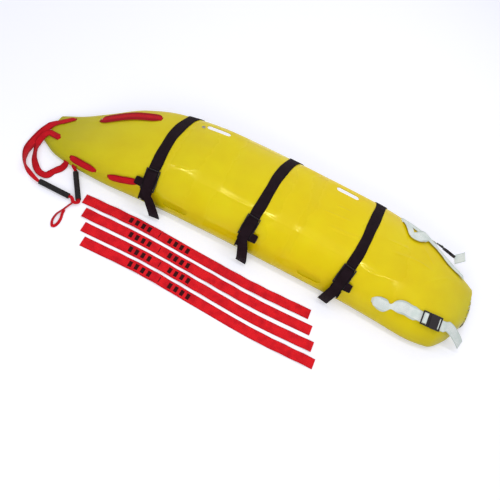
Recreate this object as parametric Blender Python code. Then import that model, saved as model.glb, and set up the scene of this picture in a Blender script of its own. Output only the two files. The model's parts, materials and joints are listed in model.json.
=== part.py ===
"""Roll-up rescue stretcher: a plastic sheet closed into a pod, with its straps, buckles, bridle and carry straps.

Metres, +Z up. The length runs along X with the head end at -X, and -Y is the near side, where the buckles sit.
The origin is on the floor, under the middle of the sheet.
"""

import math

import bmesh
import bpy
from mathutils import Matrix, Vector

# Sheet
HULL_LENGTH = 2.08
HULL_WIDTH = 0.517
HULL_HEIGHT = 0.205
SHEET_THICKNESS = 0.003
FLAP_BULGE = 0.012

# Lines that places are measured from: the two ends, and where the near and far sides are widest on the average
HEAD = -HULL_LENGTH / 2
FOOT = HULL_LENGTH / 2
NEAR_SIDE = -HULL_WIDTH / 2
FAR_SIDE = HULL_WIDTH / 2

# Webbing
WEBBING_WIDTH = 0.050
WEBBING_THICKNESS = 0.0022
BRIDLE_WIDTH = 0.030
BRIDLE_NECK = 0.0160
TOW_WIDTH = 0.011
WEBBING_GAP = 0.0009
TOUCH_GAP = 0.0004

# Hand-hold slots
HANDHOLD_LENGTH = 0.115
HANDHOLD_WIDTH = 0.030

# Side-release buckles, along the strap, across it and through it
BUCKLE_WIDTH = 0.064
BUCKLE_HEIGHT = 0.013
BODY_LENGTH = 0.058
BODY_WALL = 0.0028
BODY_SIDE = 0.006
CAVITY_DEPTH = 0.037
BAR_WIDTH = 0.005
BAR_SLOT = 0.010
TONGUE_BASE = 0.009
TONGUE_SLOT = 0.008
TONGUE_PASS = 0.014
TONGUE_BAR = 0.005
TONGUE_END = 0.004
TONGUE_HEIGHT = 0.0065
GUIDE_WIDTH = 0.012
PRONG_WIDTH = 0.006
PRONG_HEIGHT = 0.0064
PRONG_REACH = 0.0335
PRONG_OFFSET = 0.019
LOBE_START = 0.0135
LOBE_END = 0.0285
LOBE_PROUD = 0.0008
WINDOW_ROOM = 0.003
BUCKLE_EDGE = 0.0015

# Bridle grips
GRIP_RADIUS = 0.0125
GRIP_BORE = 0.009
GRIP_LENGTH = 0.145
GRIP_SIDES = 16
GRIP_LEAD = 0.08

# Carry straps
CARRY_LENGTH = 1.12
CARRY_PITCH = 0.064
CARRY_FIRST_Y = NEAR_SIDE - 0.1365
CARRY_SHIFT = 0.033
CARRY_START_X = HEAD + 0.305

# Small hardware
RIVET_RADIUS = 0.006
RIVET_HEIGHT = 0.0022
GROMMET_RADIUS = 0.009
GROMMET_BORE = 0.0045
GROMMET_HEIGHT = 0.002
GROMMETS = ((HEAD + 0.61, 2.2), (FOOT - 0.115, 0.9))
RIVET_SPREAD = 0.013

CHORD_ERROR = 0.0011
STATION_ERROR = 0.0025

# Plan of the closed pod: place along the length, near side and far side as shares of the half width, height as a
# share of the full height, and how much of its rise the tucked far wall keeps
PLAN = [
    (HEAD, -0.86, -0.24, 0.14, 0.72),
    (HEAD + 0.0832, -1.03, -0.1, 0.29, 0.9),
    (HEAD + 0.1872, -1.1, 0.14, 0.51, 1.0),
    (HEAD + 0.3328, -1.13, 0.52, 0.76, 1.0),
    (HEAD + 0.4888, -1.1, 0.755, 0.9, 1.0),
    (-0.145 * HULL_LENGTH, -1.06, 0.91, 0.98, 1.0),
    (0.0, -1.05, 0.95, 1.0, 1.0),
    (0.215 * HULL_LENGTH, -1.06, 0.97, 0.98, 1.0),
    (FOOT - 0.364, -1.1, 0.91, 0.9, 1.0),
    (FOOT - 0.2392, -1.13, 0.755, 0.8, 1.0),
    (FOOT - 0.12064, -1.07, 0.55, 0.66, 1.0),
    (FOOT - 0.04992, -0.8, 0.48, 0.52, 1.0),
    (FOOT, -0.42, 0.42, 0.38, 1.0),
]

# Section from the free edge on the far side, over the top, down the near side, along the floor and up inside the
# far wall, as shares of the half width from the middle and of the height
SECTION = [
    (0.99, 0.63),
    (0.90, 0.77),
    (0.72, 0.88),
    (0.42, 0.965),
    (0.05, 1.0),
    (-0.35, 0.975),
    (-0.66, 0.87),
    (-0.86, 0.68),
    (-0.96, 0.44),
    (-1.0, 0.20),
    (-0.965, 0.06),
    (-0.88, 0.0),
    (0.62, 0.0),
    (0.76, 0.05),
    (0.825, 0.20),
    (0.83, 0.40),
    (0.77, 0.58),
    (0.62, 0.70),
    (0.42, 0.755),
]
FLOOR_END = 12

# Places across the section, as positions in the list above
FAR_SLOT_Q = 2.0
NEAR_SLOT_Q = 8.25
FAR_ANCHOR_Q = 14.2
FAR_LEAVE_Q = 15.1
NEAR_ANCHOR_Q = 9.1

SMALL = 1e-4


def clear_scene():
    for thing in list(bpy.data.objects):
        bpy.data.objects.remove(thing, do_unlink=True)


def material(name, colour, roughness, metallic=0.0):
    """One Principled material from sRGB bytes."""
    made = bpy.data.materials.new(name)
    made.use_nodes = True
    shader = made.node_tree.nodes["Principled BSDF"]
    linear = [(c / 255) ** 2.2 for c in colour]
    shader.inputs["Base Color"].default_value = (*linear, 1.0)
    shader.inputs["Roughness"].default_value = roughness
    shader.inputs["Metallic"].default_value = metallic
    made.diffuse_color = (*linear, 1.0)
    return made


def add_object(name, mesh, look):
    """Links a mesh to the scene under a node's name."""
    made = bpy.data.objects.new(name, mesh)
    bpy.context.collection.objects.link(made)
    if not mesh.materials:
        mesh.materials.append(look)
    return made


def mesh_from(name, bm):
    """Turns a bmesh into a mesh with its faces pointing out."""
    bmesh.ops.recalc_face_normals(bm, faces=bm.faces[:])
    mesh = bpy.data.meshes.new(name)
    bm.to_mesh(mesh)
    bm.free()
    mesh.shade_smooth()
    mesh.set_sharp_from_angle(angle=math.radians(40))
    return mesh


def smooth_slopes(knots, values):
    """Slopes of the monotone cubic through values, so that flat stretches stay flat."""
    steps = [b - a for a, b in zip(knots, knots[1:])]
    rises = [(b - a) / h for a, b, h in zip(values, values[1:], steps)]
    slopes = [rises[0]]
    for k in range(1, len(rises)):
        before, after = rises[k - 1], rises[k]
        if before * after <= 0:
            slopes.append(0.0)
            continue
        w1 = 2 * steps[k] + steps[k - 1]
        w2 = steps[k] + 2 * steps[k - 1]
        slopes.append((w1 + w2) / (w1 / before + w2 / after))
    return slopes + [rises[-1]]


class Smooth:
    """A smooth curve through values at knots."""

    def __init__(self, knots, values):
        self.knots = list(knots)
        self.values = list(values)
        self.slopes = smooth_slopes(self.knots, self.values)

    def at(self, t):
        k = 0
        while k < len(self.knots) - 2 and t > self.knots[k + 1]:
            k += 1
        h = self.knots[k + 1] - self.knots[k]
        u = (t - self.knots[k]) / h
        if u < 0:
            return self.values[0] + self.slopes[0] * h * u
        if u > 1:
            return self.values[-1] + self.slopes[-1] * h * (u - 1)
        a, b = self.values[k], self.values[k + 1]
        m, n = self.slopes[k] * h, self.slopes[k + 1] * h
        return (
            a * (1 + 2 * u) * (1 - u) ** 2
            + m * u * (1 - u) ** 2
            + b * u * u * (3 - 2 * u)
            + n * u * u * (u - 1)
        )


def chord_knots():
    """Distance along the section's points at the middle of the sheet, so that the curve's speed is even."""
    knots = [0.0]
    for (y0, z0), (y1, z1) in zip(SECTION, SECTION[1:]):
        step = math.hypot((y1 - y0) * HULL_WIDTH / 2, (z1 - z0) * HULL_HEIGHT)
        knots.append(knots[-1] + step)
    return knots


KNOTS = chord_knots()
ACROSS = Smooth(KNOTS, [y for y, _ in SECTION])
RISE = Smooth(KNOTS, [z for _, z in SECTION])
STATIONS = [row[0] for row in PLAN]
NEAR = Smooth(STATIONS, [row[1] * HULL_WIDTH / 2 for row in PLAN])
FAR = Smooth(STATIONS, [row[2] * HULL_WIDTH / 2 for row in PLAN])
HEIGHT = Smooth(STATIONS, [row[3] * HULL_HEIGHT for row in PLAN])
TUCK = Smooth(STATIONS, [row[4] for row in PLAN])


def knot_at(q):
    """The curve's parameter at a position in the section's list."""
    k = min(max(int(q), 0), len(KNOTS) - 2)
    return KNOTS[k] + (q - k) * (KNOTS[k + 1] - KNOTS[k])


def smooth_sheet(x, q):
    """The curved outer surface at a place along the length and a position in the section."""
    t = knot_at(q)
    near, far = NEAR.at(x), FAR.at(x)
    up = RISE.at(t)
    if q > FLOOR_END:
        up *= TUCK.at(x)
    return Vector((x, (near + far) / 2 + ACROSS.at(t) * (far - near) / 2, up * HEIGHT.at(x)))


def step_q(x, q):
    return (smooth_sheet(x, q + SMALL) - smooth_sheet(x, q - SMALL)) / (2 * SMALL)


def step_x(x, q):
    return (smooth_sheet(x + SMALL, q) - smooth_sheet(x - SMALL, q)) / (2 * SMALL)


def sheet_normal(x, q):
    return step_q(x, q).cross(step_x(x, q)).normalized()


def split(places, start, stop, error, depth=0):
    """Values from start to stop, close enough for straight pieces between them to follow the curves."""
    middle = (start + stop) / 2
    bend = max(
        (m - (a + b) / 2).length for a, m, b in zip(places(start), places(middle), places(stop))
    )
    if depth > 6 or (bend < error and depth > 0):
        return [start]
    return split(places, start, middle, error, depth + 1) + split(places, middle, stop, error, depth + 1)


def section_values():
    values = []
    for k in range(len(SECTION) - 1):
        values += split(lambda q: [smooth_sheet(0.0, q)], k, k + 1, CHORD_ERROR, 1)
    return values + [float(len(SECTION) - 1)]


def station_values():
    guides = (0.0, 2.0, 4.0, 7.0, 9.0, 11.0, 12.0, 14.0)
    values = []
    for a, b in zip(STATIONS, STATIONS[1:]):
        values += split(lambda x: [smooth_sheet(x, q) for q in guides], a, b, STATION_ERROR, 1)
    return values + [STATIONS[-1]]


COLUMNS = section_values()
ROWS = station_values()
GRID = [[smooth_sheet(x, q) for q in COLUMNS] for x in ROWS]


def place_in(values, t):
    """The stretch of a rising list that holds t, and how far along it t lies."""
    k = 0
    while k < len(values) - 2 and t > values[k + 1]:
        k += 1
    return k, (t - values[k]) / (values[k + 1] - values[k])


def sheet(x, q):
    """The faceted outer surface, which is what lies on the sheet has to follow."""
    i, u = place_in(ROWS, x)
    j, v = place_in(COLUMNS, q)
    first, last = GRID[i][j], GRID[i + 1][j + 1]
    if u >= v:
        return first * (1 - u) + GRID[i + 1][j] * (u - v) + last * v
    return first * (1 - v) + GRID[i][j + 1] * (v - u) + last * u


def closed_grid(bm, upper, lower):
    """A closed slab between two grids of points of the same size."""
    top = [[bm.verts.new(p) for p in row] for row in upper]
    bottom = [[bm.verts.new(p) for p in row] for row in lower]
    last_row, last_column = len(top) - 1, len(top[0]) - 1
    for i in range(last_row):
        for j in range(last_column):
            bm.faces.new((top[i][j], top[i + 1][j], top[i + 1][j + 1]))
            bm.faces.new((top[i][j], top[i + 1][j + 1], top[i][j + 1]))
            bm.faces.new((bottom[i][j], bottom[i + 1][j + 1], bottom[i + 1][j]))
            bm.faces.new((bottom[i][j], bottom[i][j + 1], bottom[i + 1][j + 1]))
    for i in range(last_row):
        for j in (0, last_column):
            bm.faces.new((top[i][j], top[i + 1][j], bottom[i + 1][j], bottom[i][j]))
    for j in range(last_column):
        for i in (0, last_row):
            bm.faces.new((top[i][j], top[i][j + 1], bottom[i][j + 1], bottom[i][j]))


def hide_tool(tool):
    tool.hide_render = True
    tool.display_type = "WIRE"


def cut(target, tool):
    """Subtracts a tool from an object and leaves both in the file."""
    hide_tool(tool)
    modifier = target.modifiers.new("cut", "BOOLEAN")
    modifier.operation = "DIFFERENCE"
    modifier.solver = "EXACT"
    modifier.object = tool


def frame_matrix(origin, along, normal):
    """A placement whose X runs along and whose Z follows the normal."""
    x = along.normalized()
    z = (normal - x * normal.dot(x)).normalized()
    y = z.cross(x)
    return Matrix.Translation(origin) @ Matrix((x, y, z)).transposed().to_4x4()


def slot_tool(name, x, q, length, width, direction):
    """A stadium-shaped cutter through the sheet at one place, its long side along a direction."""
    depth = 4 * SHEET_THICKNESS
    bm = bmesh.new()
    outline = []
    straight = (length - width) / 2
    for end, start in ((1, -math.pi / 2), (-1, math.pi / 2)):
        for k in range(5):
            angle = start + math.pi * k / 4
            outline.append((end * straight + math.cos(angle) * width / 2, math.sin(angle) * width / 2))
    low = [bm.verts.new((u, v, -depth)) for u, v in outline]
    high = [bm.verts.new((u, v, depth)) for u, v in outline]
    bm.faces.new(low)
    bm.faces.new(high)
    for k in range(len(outline)):
        n = (k + 1) % len(outline)
        bm.faces.new((low[k], low[n], high[n], high[k]))
    tool = add_object(name, mesh_from(name, bm), LOOKS["sheet"])
    tool.matrix_world = frame_matrix(sheet(x, q), direction, sheet_normal(x, q))
    return tool


def hull_sheet():
    """The one sheet, from its free edge round to the edge that is tucked inside."""
    outer, inner = [], []
    for x in ROWS:
        outer.append([sheet(x, q) for q in COLUMNS])
        inner.append([sheet(x, q) - sheet_normal(x, q) * SHEET_THICKNESS for q in COLUMNS])
    bm = bmesh.new()
    closed_grid(bm, outer, inner)
    made = add_object("hull_sheet", mesh_from("hull_sheet", bm), LOOKS["sheet"])
    for name, x, q, length, width, direction in slot_places():
        cut(made, slot_tool(name, x, q, length, width, direction))
    return made


HANDHOLDS = (HEAD + 0.68, FOOT - 0.735)
WEBBING_SLOT = 0.022
SLOT_ROOM = 0.016


def slot_places():
    """Every opening in the sheet: name, place, size and the direction of its long side."""
    places = []
    for name, (start, stop), width, ends in (
        ("far_handle", FAR_HANDLE, HANDLE_WIDTH, 2),
        ("near_front", NEAR_HANDLE_A, HANDLE_WIDTH, 2),
        ("near_back", NEAR_HANDLE_B, HANDLE_WIDTH, 2),
        ("foot_near", FOOT_NEAR, WEBBING_WIDTH, 1),
        ("foot_far", FOOT_FAR, WEBBING_WIDTH, 1),
        ("nose_far", NOSE_FAR, BRIDLE_WIDTH, 1),
        ("nose_near", NOSE_NEAR, BRIDLE_WIDTH, 1),
    ):
        for k, (x, q) in enumerate((start, stop)[:ends]):
            speed = step_q(x, q).length
            run = Vector((stop[0] - start[0], (stop[1] - start[1]) * speed)).normalized()
            across = step_q(x, q) * (run.x / speed) - step_x(x, q) * run.y
            places.append((f"cut_{name}_{k}", x, q, width + SLOT_ROOM, WEBBING_SLOT, across))
    for k, x in enumerate(HANDHOLDS):
        for name, q in (("far", FAR_SLOT_Q), ("near", NEAR_SLOT_Q)):
            place = (f"cut_{name}_handhold_{k}", x, q, HANDHOLD_LENGTH, HANDHOLD_WIDTH, step_x(x, q))
            places.append(place)
    return places


def strip(name, rows, thickness, look):
    """A flat band: each row holds points across it, each with the direction of its upper side."""
    upper = [[p + n * thickness / 2 for p, n in row] for row in rows]
    lower = [[p - n * thickness / 2 for p, n in row] for row in rows]
    bm = bmesh.new()
    closed_grid(bm, upper, lower)
    return add_object(name, mesh_from(name, bm), look)


def sheet_rows(path, width, square=False):
    """Rows of a band that lies on the sheet, from places along, across and above it; square rows stay on x."""
    rows = []
    for k, (x, q, lift) in enumerate(path):
        x0, q0, _ = path[max(k - 1, 0)]
        x1, q1, _ = path[min(k + 1, len(path) - 1)]
        speed = step_q(x, q).length
        run = Vector((0.0 if square else x1 - x0, (q1 - q0) * speed)).normalized()
        row = []
        for side in (-0.5, 0.0, 0.5):
            px = x - run.y * side * width
            pq = q + run.x * side * width / speed
            normal = sheet_normal(px, pq)
            row.append((sheet(px, pq) + normal * lift, normal))
        rows.append(row)
    return rows


def spline(points, count):
    """Points of a smooth curve through the given ones, count to each stretch."""
    out = []
    last = len(points) - 1
    for k in range(last):
        a, b = points[max(k - 1, 0)], points[k]
        c, d = points[k + 1], points[min(k + 2, last)]
        for j in range(count):
            t = j / count
            out.append(
                b
                + (c - a) * (t / 2)
                + (a * 2 - b * 5 + c * 4 - d) * (t * t / 2)
                + (b * 3 - a - c * 3 + d) * (t**3 / 2)
            )
    return out + [points[-1]]


def free_rows(stops, count):
    """Rows of a band in the open, from stops of place, width and turn about its own line, in degrees."""
    data = spline([Vector((*place, width, turn)) for place, width, turn in stops], count)
    rows = []
    for k, item in enumerate(data):
        before = Vector(data[max(k - 1, 0)][:3])
        after = Vector(data[min(k + 1, len(data) - 1)][:3])
        tangent = (after - before).normalized()
        flat = tangent.cross(Vector((0, 0, 1))).normalized()
        across = Matrix.Rotation(math.radians(item[4]), 3, tangent) @ flat
        normal = across.cross(tangent)
        centre = Vector(item[:3])
        rows.append([(centre + across * (side * item[3]), normal) for side in (-0.5, 0.0, 0.5)])
    return rows


LAY = WEBBING_GAP + WEBBING_THICKNESS / 2


def edge_profile(x, turns):
    """Centres and facings of a band round the free edge at one place along the length."""
    normal = sheet_normal(x, 0.0)
    outward = -step_q(x, 0.0).normalized()
    edge = sheet(x, 0.0) - normal * SHEET_THICKNESS / 2
    wall = sheet(x, FAR_LEAVE_Q) + sheet_normal(x, FAR_LEAVE_Q) * LAY
    away = wall - edge
    last = math.atan2(-away.dot(normal), away.dot(outward))
    radius = SHEET_THICKNESS / 2 + LAY
    out = []
    for k in range(turns + 1):
        angle = last * (1 - k / turns)
        facing = normal * math.cos(angle) + outward * math.sin(angle)
        out.append((edge + facing * radius, facing))
    return out


def edge_rows(x, width, turns):
    """Rows of a band that goes round the sheet's free edge, from behind it to the top side."""
    return [list(row) for row in zip(*(edge_profile(x + side * width, turns) for side in (0.5, 0.0, -0.5)))]


# Buckles: place along the length and across the section, and the webbing's colour
BUCKLE_Q = 6.62
STRAPS = {
    "chest": (HEAD + 0.56, HEAD + 0.516, HEAD + 0.532, HEAD + 0.61, NEAR_SIDE - 0.0595),
    "hip": (0.033, -0.022, -0.030, 0.005, NEAR_SIDE - 0.0565),
    "leg": (FOOT - 0.562, FOOT - 0.579, FOOT - 0.6, FOOT - 0.629, NEAR_SIDE - 0.0415),
}


def strap_line(kind):
    """Where the band lies along the length for a position across the section."""
    far, middle, near, _, _ = STRAPS[kind]
    return Smooth([0.0, 4.2, BUCKLE_Q], [far, middle, near])


def buckle_frame(kind):
    """Placement of a cross strap's buckle: X points up the strap, the mouth of the body is at the origin."""
    line = strap_line(kind)
    x, q = line.at(BUCKLE_Q), BUCKLE_Q
    along = sheet(line.at(q - 0.3), q - 0.3) - sheet(line.at(q + 0.3), q + 0.3)
    normal = sheet_normal(x, q)
    return frame_matrix(sheet(x, q) + normal * (BUCKLE_HEIGHT / 2 + WEBBING_GAP + 0.002), along, normal)


def local_rows(matrix, stops, width):
    """Rows of a band from places in a buckle's own frame, with the band's width across the buckle."""
    across = (matrix.to_3x3() @ Vector((0, 1, 0))).normalized()
    centres = [matrix @ Vector((u, 0, n)) for u, n in stops]
    return rows_across(centres, across, width)


def rows_across(centres, across, width, direction=Vector((0, 1, 1))):
    rows = []
    for k, centre in enumerate(centres):
        before, after = centres[max(k - 1, 0)], centres[min(k + 1, len(centres) - 1)]
        normal = across.cross(after - before if len(centres) > 1 else direction).normalized()
        rows.append([(centre + across * (side * width), normal) for side in (-0.5, 0.0, 0.5)])
    return rows


def box(bm, low, high):
    """A box between two corners."""
    corners = [
        bm.verts.new((low[0] if i < 1 else high[0], low[1] if j < 1 else high[1], low[2] if k < 1 else high[2]))
        for i in (0, 1)
        for j in (0, 1)
        for k in (0, 1)
    ]
    for face in ((0, 1, 3, 2), (4, 6, 7, 5), (0, 4, 5, 1), (2, 3, 7, 6), (0, 2, 6, 4), (1, 5, 7, 3)):
        bm.faces.new([corners[v] for v in face])
    return corners


def box_object(name, low, high, bevel=0.0, look=None):
    """A box object, with its upright and long edges rounded where a bevel is given."""
    bm = bmesh.new()
    box(bm, low, high)
    if bevel:
        bmesh.ops.bevel(bm, geom=bm.edges[:], offset=bevel, segments=1, profile=0.5, affect="EDGES")
    return add_object(name, mesh_from(name, bm), look or LOOKS["buckle"])


def settled(target):
    """The mesh of an object after its modifiers, with the object and its tools taken out again."""
    tools = [m.object for m in target.modifiers if m.type == "BOOLEAN"]
    graph = bpy.context.evaluated_depsgraph_get()
    mesh = bpy.data.meshes.new_from_object(target.evaluated_get(graph), depsgraph=graph)
    for thing in tools + [target]:
        bpy.data.objects.remove(thing, do_unlink=True)
    return mesh


def buckle_body_mesh():
    """The socket: a cavity for the prongs, a window in each side and a bar for the webbing."""
    half, high = BUCKLE_WIDTH / 2, BUCKLE_HEIGHT / 2
    body = box_object("socket", (-BODY_LENGTH, -half, -high), (0, half, high), BUCKLE_EDGE)
    inside = half - BODY_SIDE
    clear = high - BODY_WALL
    cut(body, box_object("cavity", (-CAVITY_DEPTH, -inside, -clear), (0.01, inside, clear)))
    window = (-(LOBE_END + WINDOW_ROOM), -half - 0.01, -clear)
    cut(body, box_object("windows", window, (-(LOBE_START - WINDOW_ROOM), half + 0.01, clear)))
    slot = -BODY_LENGTH + BAR_WIDTH
    room = WEBBING_WIDTH / 2 + 0.0015
    cut(body, box_object("webbing_slot", (slot, -room, -0.02), (slot + BAR_SLOT, room, 0.02)))
    for name, end in (("bar_top", 1), ("bar_bottom", -1)):
        low, far = sorted((end * BAR_WIDTH / 2, end * 0.02))
        cut(body, box_object(name, (-BODY_LENGTH - 0.01, -room, low), (slot + 0.001, room, far)))
    return settled(body)


PASS_START = TONGUE_BASE + TONGUE_SLOT + TONGUE_BAR
TONGUE_LENGTH = PASS_START + TONGUE_PASS + TONGUE_END


def tongue_mesh():
    """The plug without its prongs: a base, a middle guide and two slots for the webbing."""
    half, high = BUCKLE_WIDTH / 2, TONGUE_HEIGHT / 2
    bm = bmesh.new()
    guide = GUIDE_WIDTH / 2
    slot = WEBBING_WIDTH / 2 + 0.0015
    outline = [(-0.030, -guide), (0.0003, -guide), (0.0003, -half), (TONGUE_LENGTH, -half)]
    outline += [(u, -v) for u, v in reversed(outline)]
    low = [bm.verts.new((u, v, -high)) for u, v in outline]
    high_ring = [bm.verts.new((u, v, high)) for u, v in outline]
    bm.faces.new(low)
    bm.faces.new(high_ring)
    for k in range(len(outline)):
        n = (k + 1) % len(outline)
        bm.faces.new((low[k], low[n], high_ring[n], high_ring[k]))
    bmesh.ops.recalc_face_normals(bm, faces=bm.faces[:])
    upright = [e for e in bm.edges if abs(e.verts[0].co.z - e.verts[1].co.z) > high]
    bmesh.ops.bevel(bm, geom=upright, offset=0.0012, segments=2, profile=0.5, affect="EDGES")
    plug = add_object("plug", mesh_from("plug", bm), LOOKS["buckle"])
    for name, start, length in (("slot", TONGUE_BASE, TONGUE_SLOT), ("pass", PASS_START, TONGUE_PASS)):
        cut(plug, box_object(name, (start, -slot, -0.02), (start + length, slot, 0.02)))
    return settled(plug)


PRONG_AXIS = -(PRONG_WIDTH / 2 + TOUCH_GAP)


def prong_mesh(side):
    """One arm of the plug, with its origin on the axis that it bends about."""
    half = BUCKLE_WIDTH / 2
    outer = PRONG_WIDTH / 2
    root = []
    for k in range(5):
        angle = -math.pi / 2 + math.pi * k / 4
        root.append((outer * math.cos(angle), outer * math.sin(angle)))
    lobe = half + LOBE_PROUD - PRONG_OFFSET
    arm = [
        (-(LOBE_START - PRONG_WIDTH / 2), outer),
        (-LOBE_START, lobe),
        (-LOBE_END + 0.004, lobe),
        (-LOBE_END, lobe - 0.004),
        (-LOBE_END, outer + 0.001),
        (-PRONG_REACH + 0.003, outer),
        (-PRONG_REACH, 0.0),
        (-PRONG_REACH + 0.002, -outer),
    ]
    bm = bmesh.new()
    outline = [(u, v * side) for u, v in root + [(u - PRONG_AXIS, v) for u, v in arm]]
    low = [bm.verts.new((u, v, -PRONG_HEIGHT / 2)) for u, v in outline]
    high = [bm.verts.new((u, v, PRONG_HEIGHT / 2)) for u, v in outline]
    bm.faces.new(low)
    bm.faces.new(high)
    for k in range(len(outline)):
        n = (k + 1) % len(outline)
        bm.faces.new((low[k], low[n], high[n], high[k]))
    return mesh_from("prong", bm)


def buckle(kind, matrix, meshes, look):
    """One side-release buckle: socket, plug and the plug's two prongs."""
    body = add_object(f"{kind}_buckle_body", meshes["body"], look)
    body.matrix_world = matrix
    tongue = add_object(f"{kind}_buckle_tongue", meshes["tongue"], look)
    tongue.matrix_world = matrix
    for letter, side in (("a", 1), ("b", -1)):
        prong = add_object(f"{kind}_buckle_prong_{letter}", meshes[letter], look)
        prong.matrix_world = matrix @ Matrix.Translation((PRONG_AXIS, side * PRONG_OFFSET, 0))


OVER_BODY = BUCKLE_HEIGHT / 2 + WEBBING_THICKNESS / 2 + TOUCH_GAP


def cross_strap(kind):
    """A black strap: riveted to the far wall, round the free edge, over the top, through the plug and down."""
    far, _, _, tail_x, tail_y = STRAPS[kind]
    line = strap_line(kind)
    matrix = buckle_frame(kind)
    rows = sheet_rows([(far, FAR_ANCHOR_Q + 0.3 * k, LAY) for k in range(4)], WEBBING_WIDTH)
    rows += edge_rows(far, WEBBING_WIDTH * 1.25, 5)
    top = [q for q in COLUMNS if 0.2 < q < BUCKLE_Q - 0.85] + [BUCKLE_Q - 0.75]
    rows += sheet_rows([(line.at(q), q, LAY) for q in top], WEBBING_WIDTH, square=True)
    clear = TONGUE_HEIGHT / 2 + WEBBING_THICKNESS / 2 + 0.0016
    stops = [
        (TONGUE_LENGTH + 0.010, -clear),
        (PASS_START + TONGUE_PASS + 0.0015, -clear),
        (PASS_START - 0.0015, clear),
        (TONGUE_BASE, OVER_BODY),
        (0.0, OVER_BODY),
        (-0.02, OVER_BODY),
        (-0.04, OVER_BODY),
        (-BODY_LENGTH, OVER_BODY + 0.001),
    ]
    rows += local_rows(matrix, stops, WEBBING_WIDTH)
    start = matrix @ Vector((-BODY_LENGTH - 0.012, 0, OVER_BODY))
    low = Vector((tail_x, tail_y, WEBBING_THICKNESS + 0.001))
    hang = []
    for k in range(1, 7):
        t = k / 6
        out = 0.030 * math.sin(math.pi * t)
        hang.append(start.lerp(low, t) + Vector((0, -out, 0.012 * math.sin(math.pi * t))))
    across = (matrix.to_3x3() @ Vector((0, 1, 0))).normalized()
    rows += rows_across([start] + hang, across, WEBBING_WIDTH)
    strip(f"{kind}_strap", rows, WEBBING_THICKNESS, LOOKS["black_webbing"])


BAR_WRAP = 0.005


def bar_stops(below):
    """Places of a band that comes up to the socket's bar from below, goes round it and ends on top."""
    middle = -BODY_LENGTH + BAR_WIDTH / 2
    stops = [(-BODY_LENGTH - 0.018, below), (-BODY_LENGTH - 0.006, (below - BAR_WRAP) / 2)]
    for k in range(7):
        angle = -math.pi / 2 + math.pi * k / 6
        stops.append((middle + BAR_WRAP * math.cos(angle), BAR_WRAP * math.sin(angle)))
    return stops + [(-BODY_LENGTH - 0.006, BAR_WRAP - 0.0006)]


def anchor_strap(kind):
    """The short strap that holds the socket to the near wall."""
    line = strap_line(kind)
    x = line.at(BUCKLE_Q)
    matrix = buckle_frame(kind)
    lying = [q for q in COLUMNS if BUCKLE_Q + 1.5 < q < NEAR_ANCHOR_Q]
    rows = sheet_rows([(x, q, LAY) for q in [NEAR_ANCHOR_Q] + lying[::-1]], WEBBING_WIDTH)
    rows += local_rows_up(matrix, bar_stops(-BUCKLE_HEIGHT / 2 - 0.003), WEBBING_WIDTH)
    strip(f"{kind}_anchor", rows, WEBBING_THICKNESS, LOOKS["black_webbing"])


def local_rows_up(matrix, stops, width):
    """Rows like local_rows for a band that runs up the buckle, so that its upper side stays out."""
    across = (matrix.to_3x3() @ Vector((0, -1, 0))).normalized()
    return rows_across([matrix @ Vector((u, 0, n)) for u, n in stops], across, width)


SLACK = 0.0016
DIVE = 0.006
TAB = 0.030
TAB_GAP = 0.0006


def line_on_sheet(start, stop, dive_start=True, dive_stop=True):
    """Path of a band on the sheet between two places, passing inside through a slot at its ends."""
    (x0, q0), (x1, q1) = start, stop
    over, under = LAY + SLACK, -(SHEET_THICKNESS + LAY + SLACK)
    seated = -(SHEET_THICKNESS + WEBBING_THICKNESS / 2 + TAB_GAP)
    speed = step_q((x0 + x1) / 2, (q0 + q1) / 2).length
    length = math.hypot(x1 - x0, (q1 - q0) * speed)
    marks = []
    if dive_start:
        marks += [(-TAB, seated), (-DIVE, under), (DIVE, over)]
    else:
        marks += [(0.0, over)]
    inner = [(x - x0) / (x1 - x0) * length for x in ROWS if min(x0, x1) < x < max(x0, x1)]
    if q1 != q0:
        inner += [(q - q0) / (q1 - q0) * length for q in COLUMNS if min(q0, q1) < q < max(q0, q1)]
    marks += [(d, over) for d in sorted(inner) if 2 * DIVE < d < length - 2 * DIVE]
    if dive_stop:
        marks += [(length - DIVE, over), (length + DIVE, under), (length + TAB, seated)]
    else:
        marks += [(length, over)]
    return [(x0 + (x1 - x0) * d / length, q0 + (q1 - q0) * d / length, lift) for d, lift in marks]


FAR_HANDLE = ((HEAD + 0.19, 2.3), (HEAD + 0.41, 2.25))
NEAR_HANDLE_A = ((HEAD + 0.16, 7.5), (HEAD + 0.288, 8.05))
NEAR_HANDLE_B = ((HEAD + 0.354, 8.0), (HEAD + 0.484, 7.35))
HANDLE_WIDTH = 0.040
NOSE_FAR = ((HEAD + 0.068, 2.0), (HEAD + 0.014, 3.35))
NOSE_NEAR = ((HEAD + 0.062, 5.35), (HEAD + 0.014, 5.5))
FOOT_BUCKLE_X = FOOT - 0.178
FOOT_BUCKLE_Q = 6.1
FOOT_NEAR = ((FOOT - 0.44, 7.25), (FOOT_BUCKLE_X - 0.062, FOOT_BUCKLE_Q + 0.15))
FOOT_FAR_BUCKLE = (FOOT - 0.195, FAR_SIDE - 0.0365, 0.088)
FOOT_FAR = ((FOOT - 0.45, 1.15), (FOOT - 0.34, 1.05))


def handles():
    """Red webbing handles at the head end, threaded through slots."""
    for name, (start, stop) in (
        ("far_handle", FAR_HANDLE),
        ("near_handle_front", NEAR_HANDLE_A),
        ("near_handle_back", NEAR_HANDLE_B),
    ):
        rows = sheet_rows(line_on_sheet(start, stop), HANDLE_WIDTH)
        strip(name, rows, WEBBING_THICKNESS, LOOKS["red_webbing"])


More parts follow.
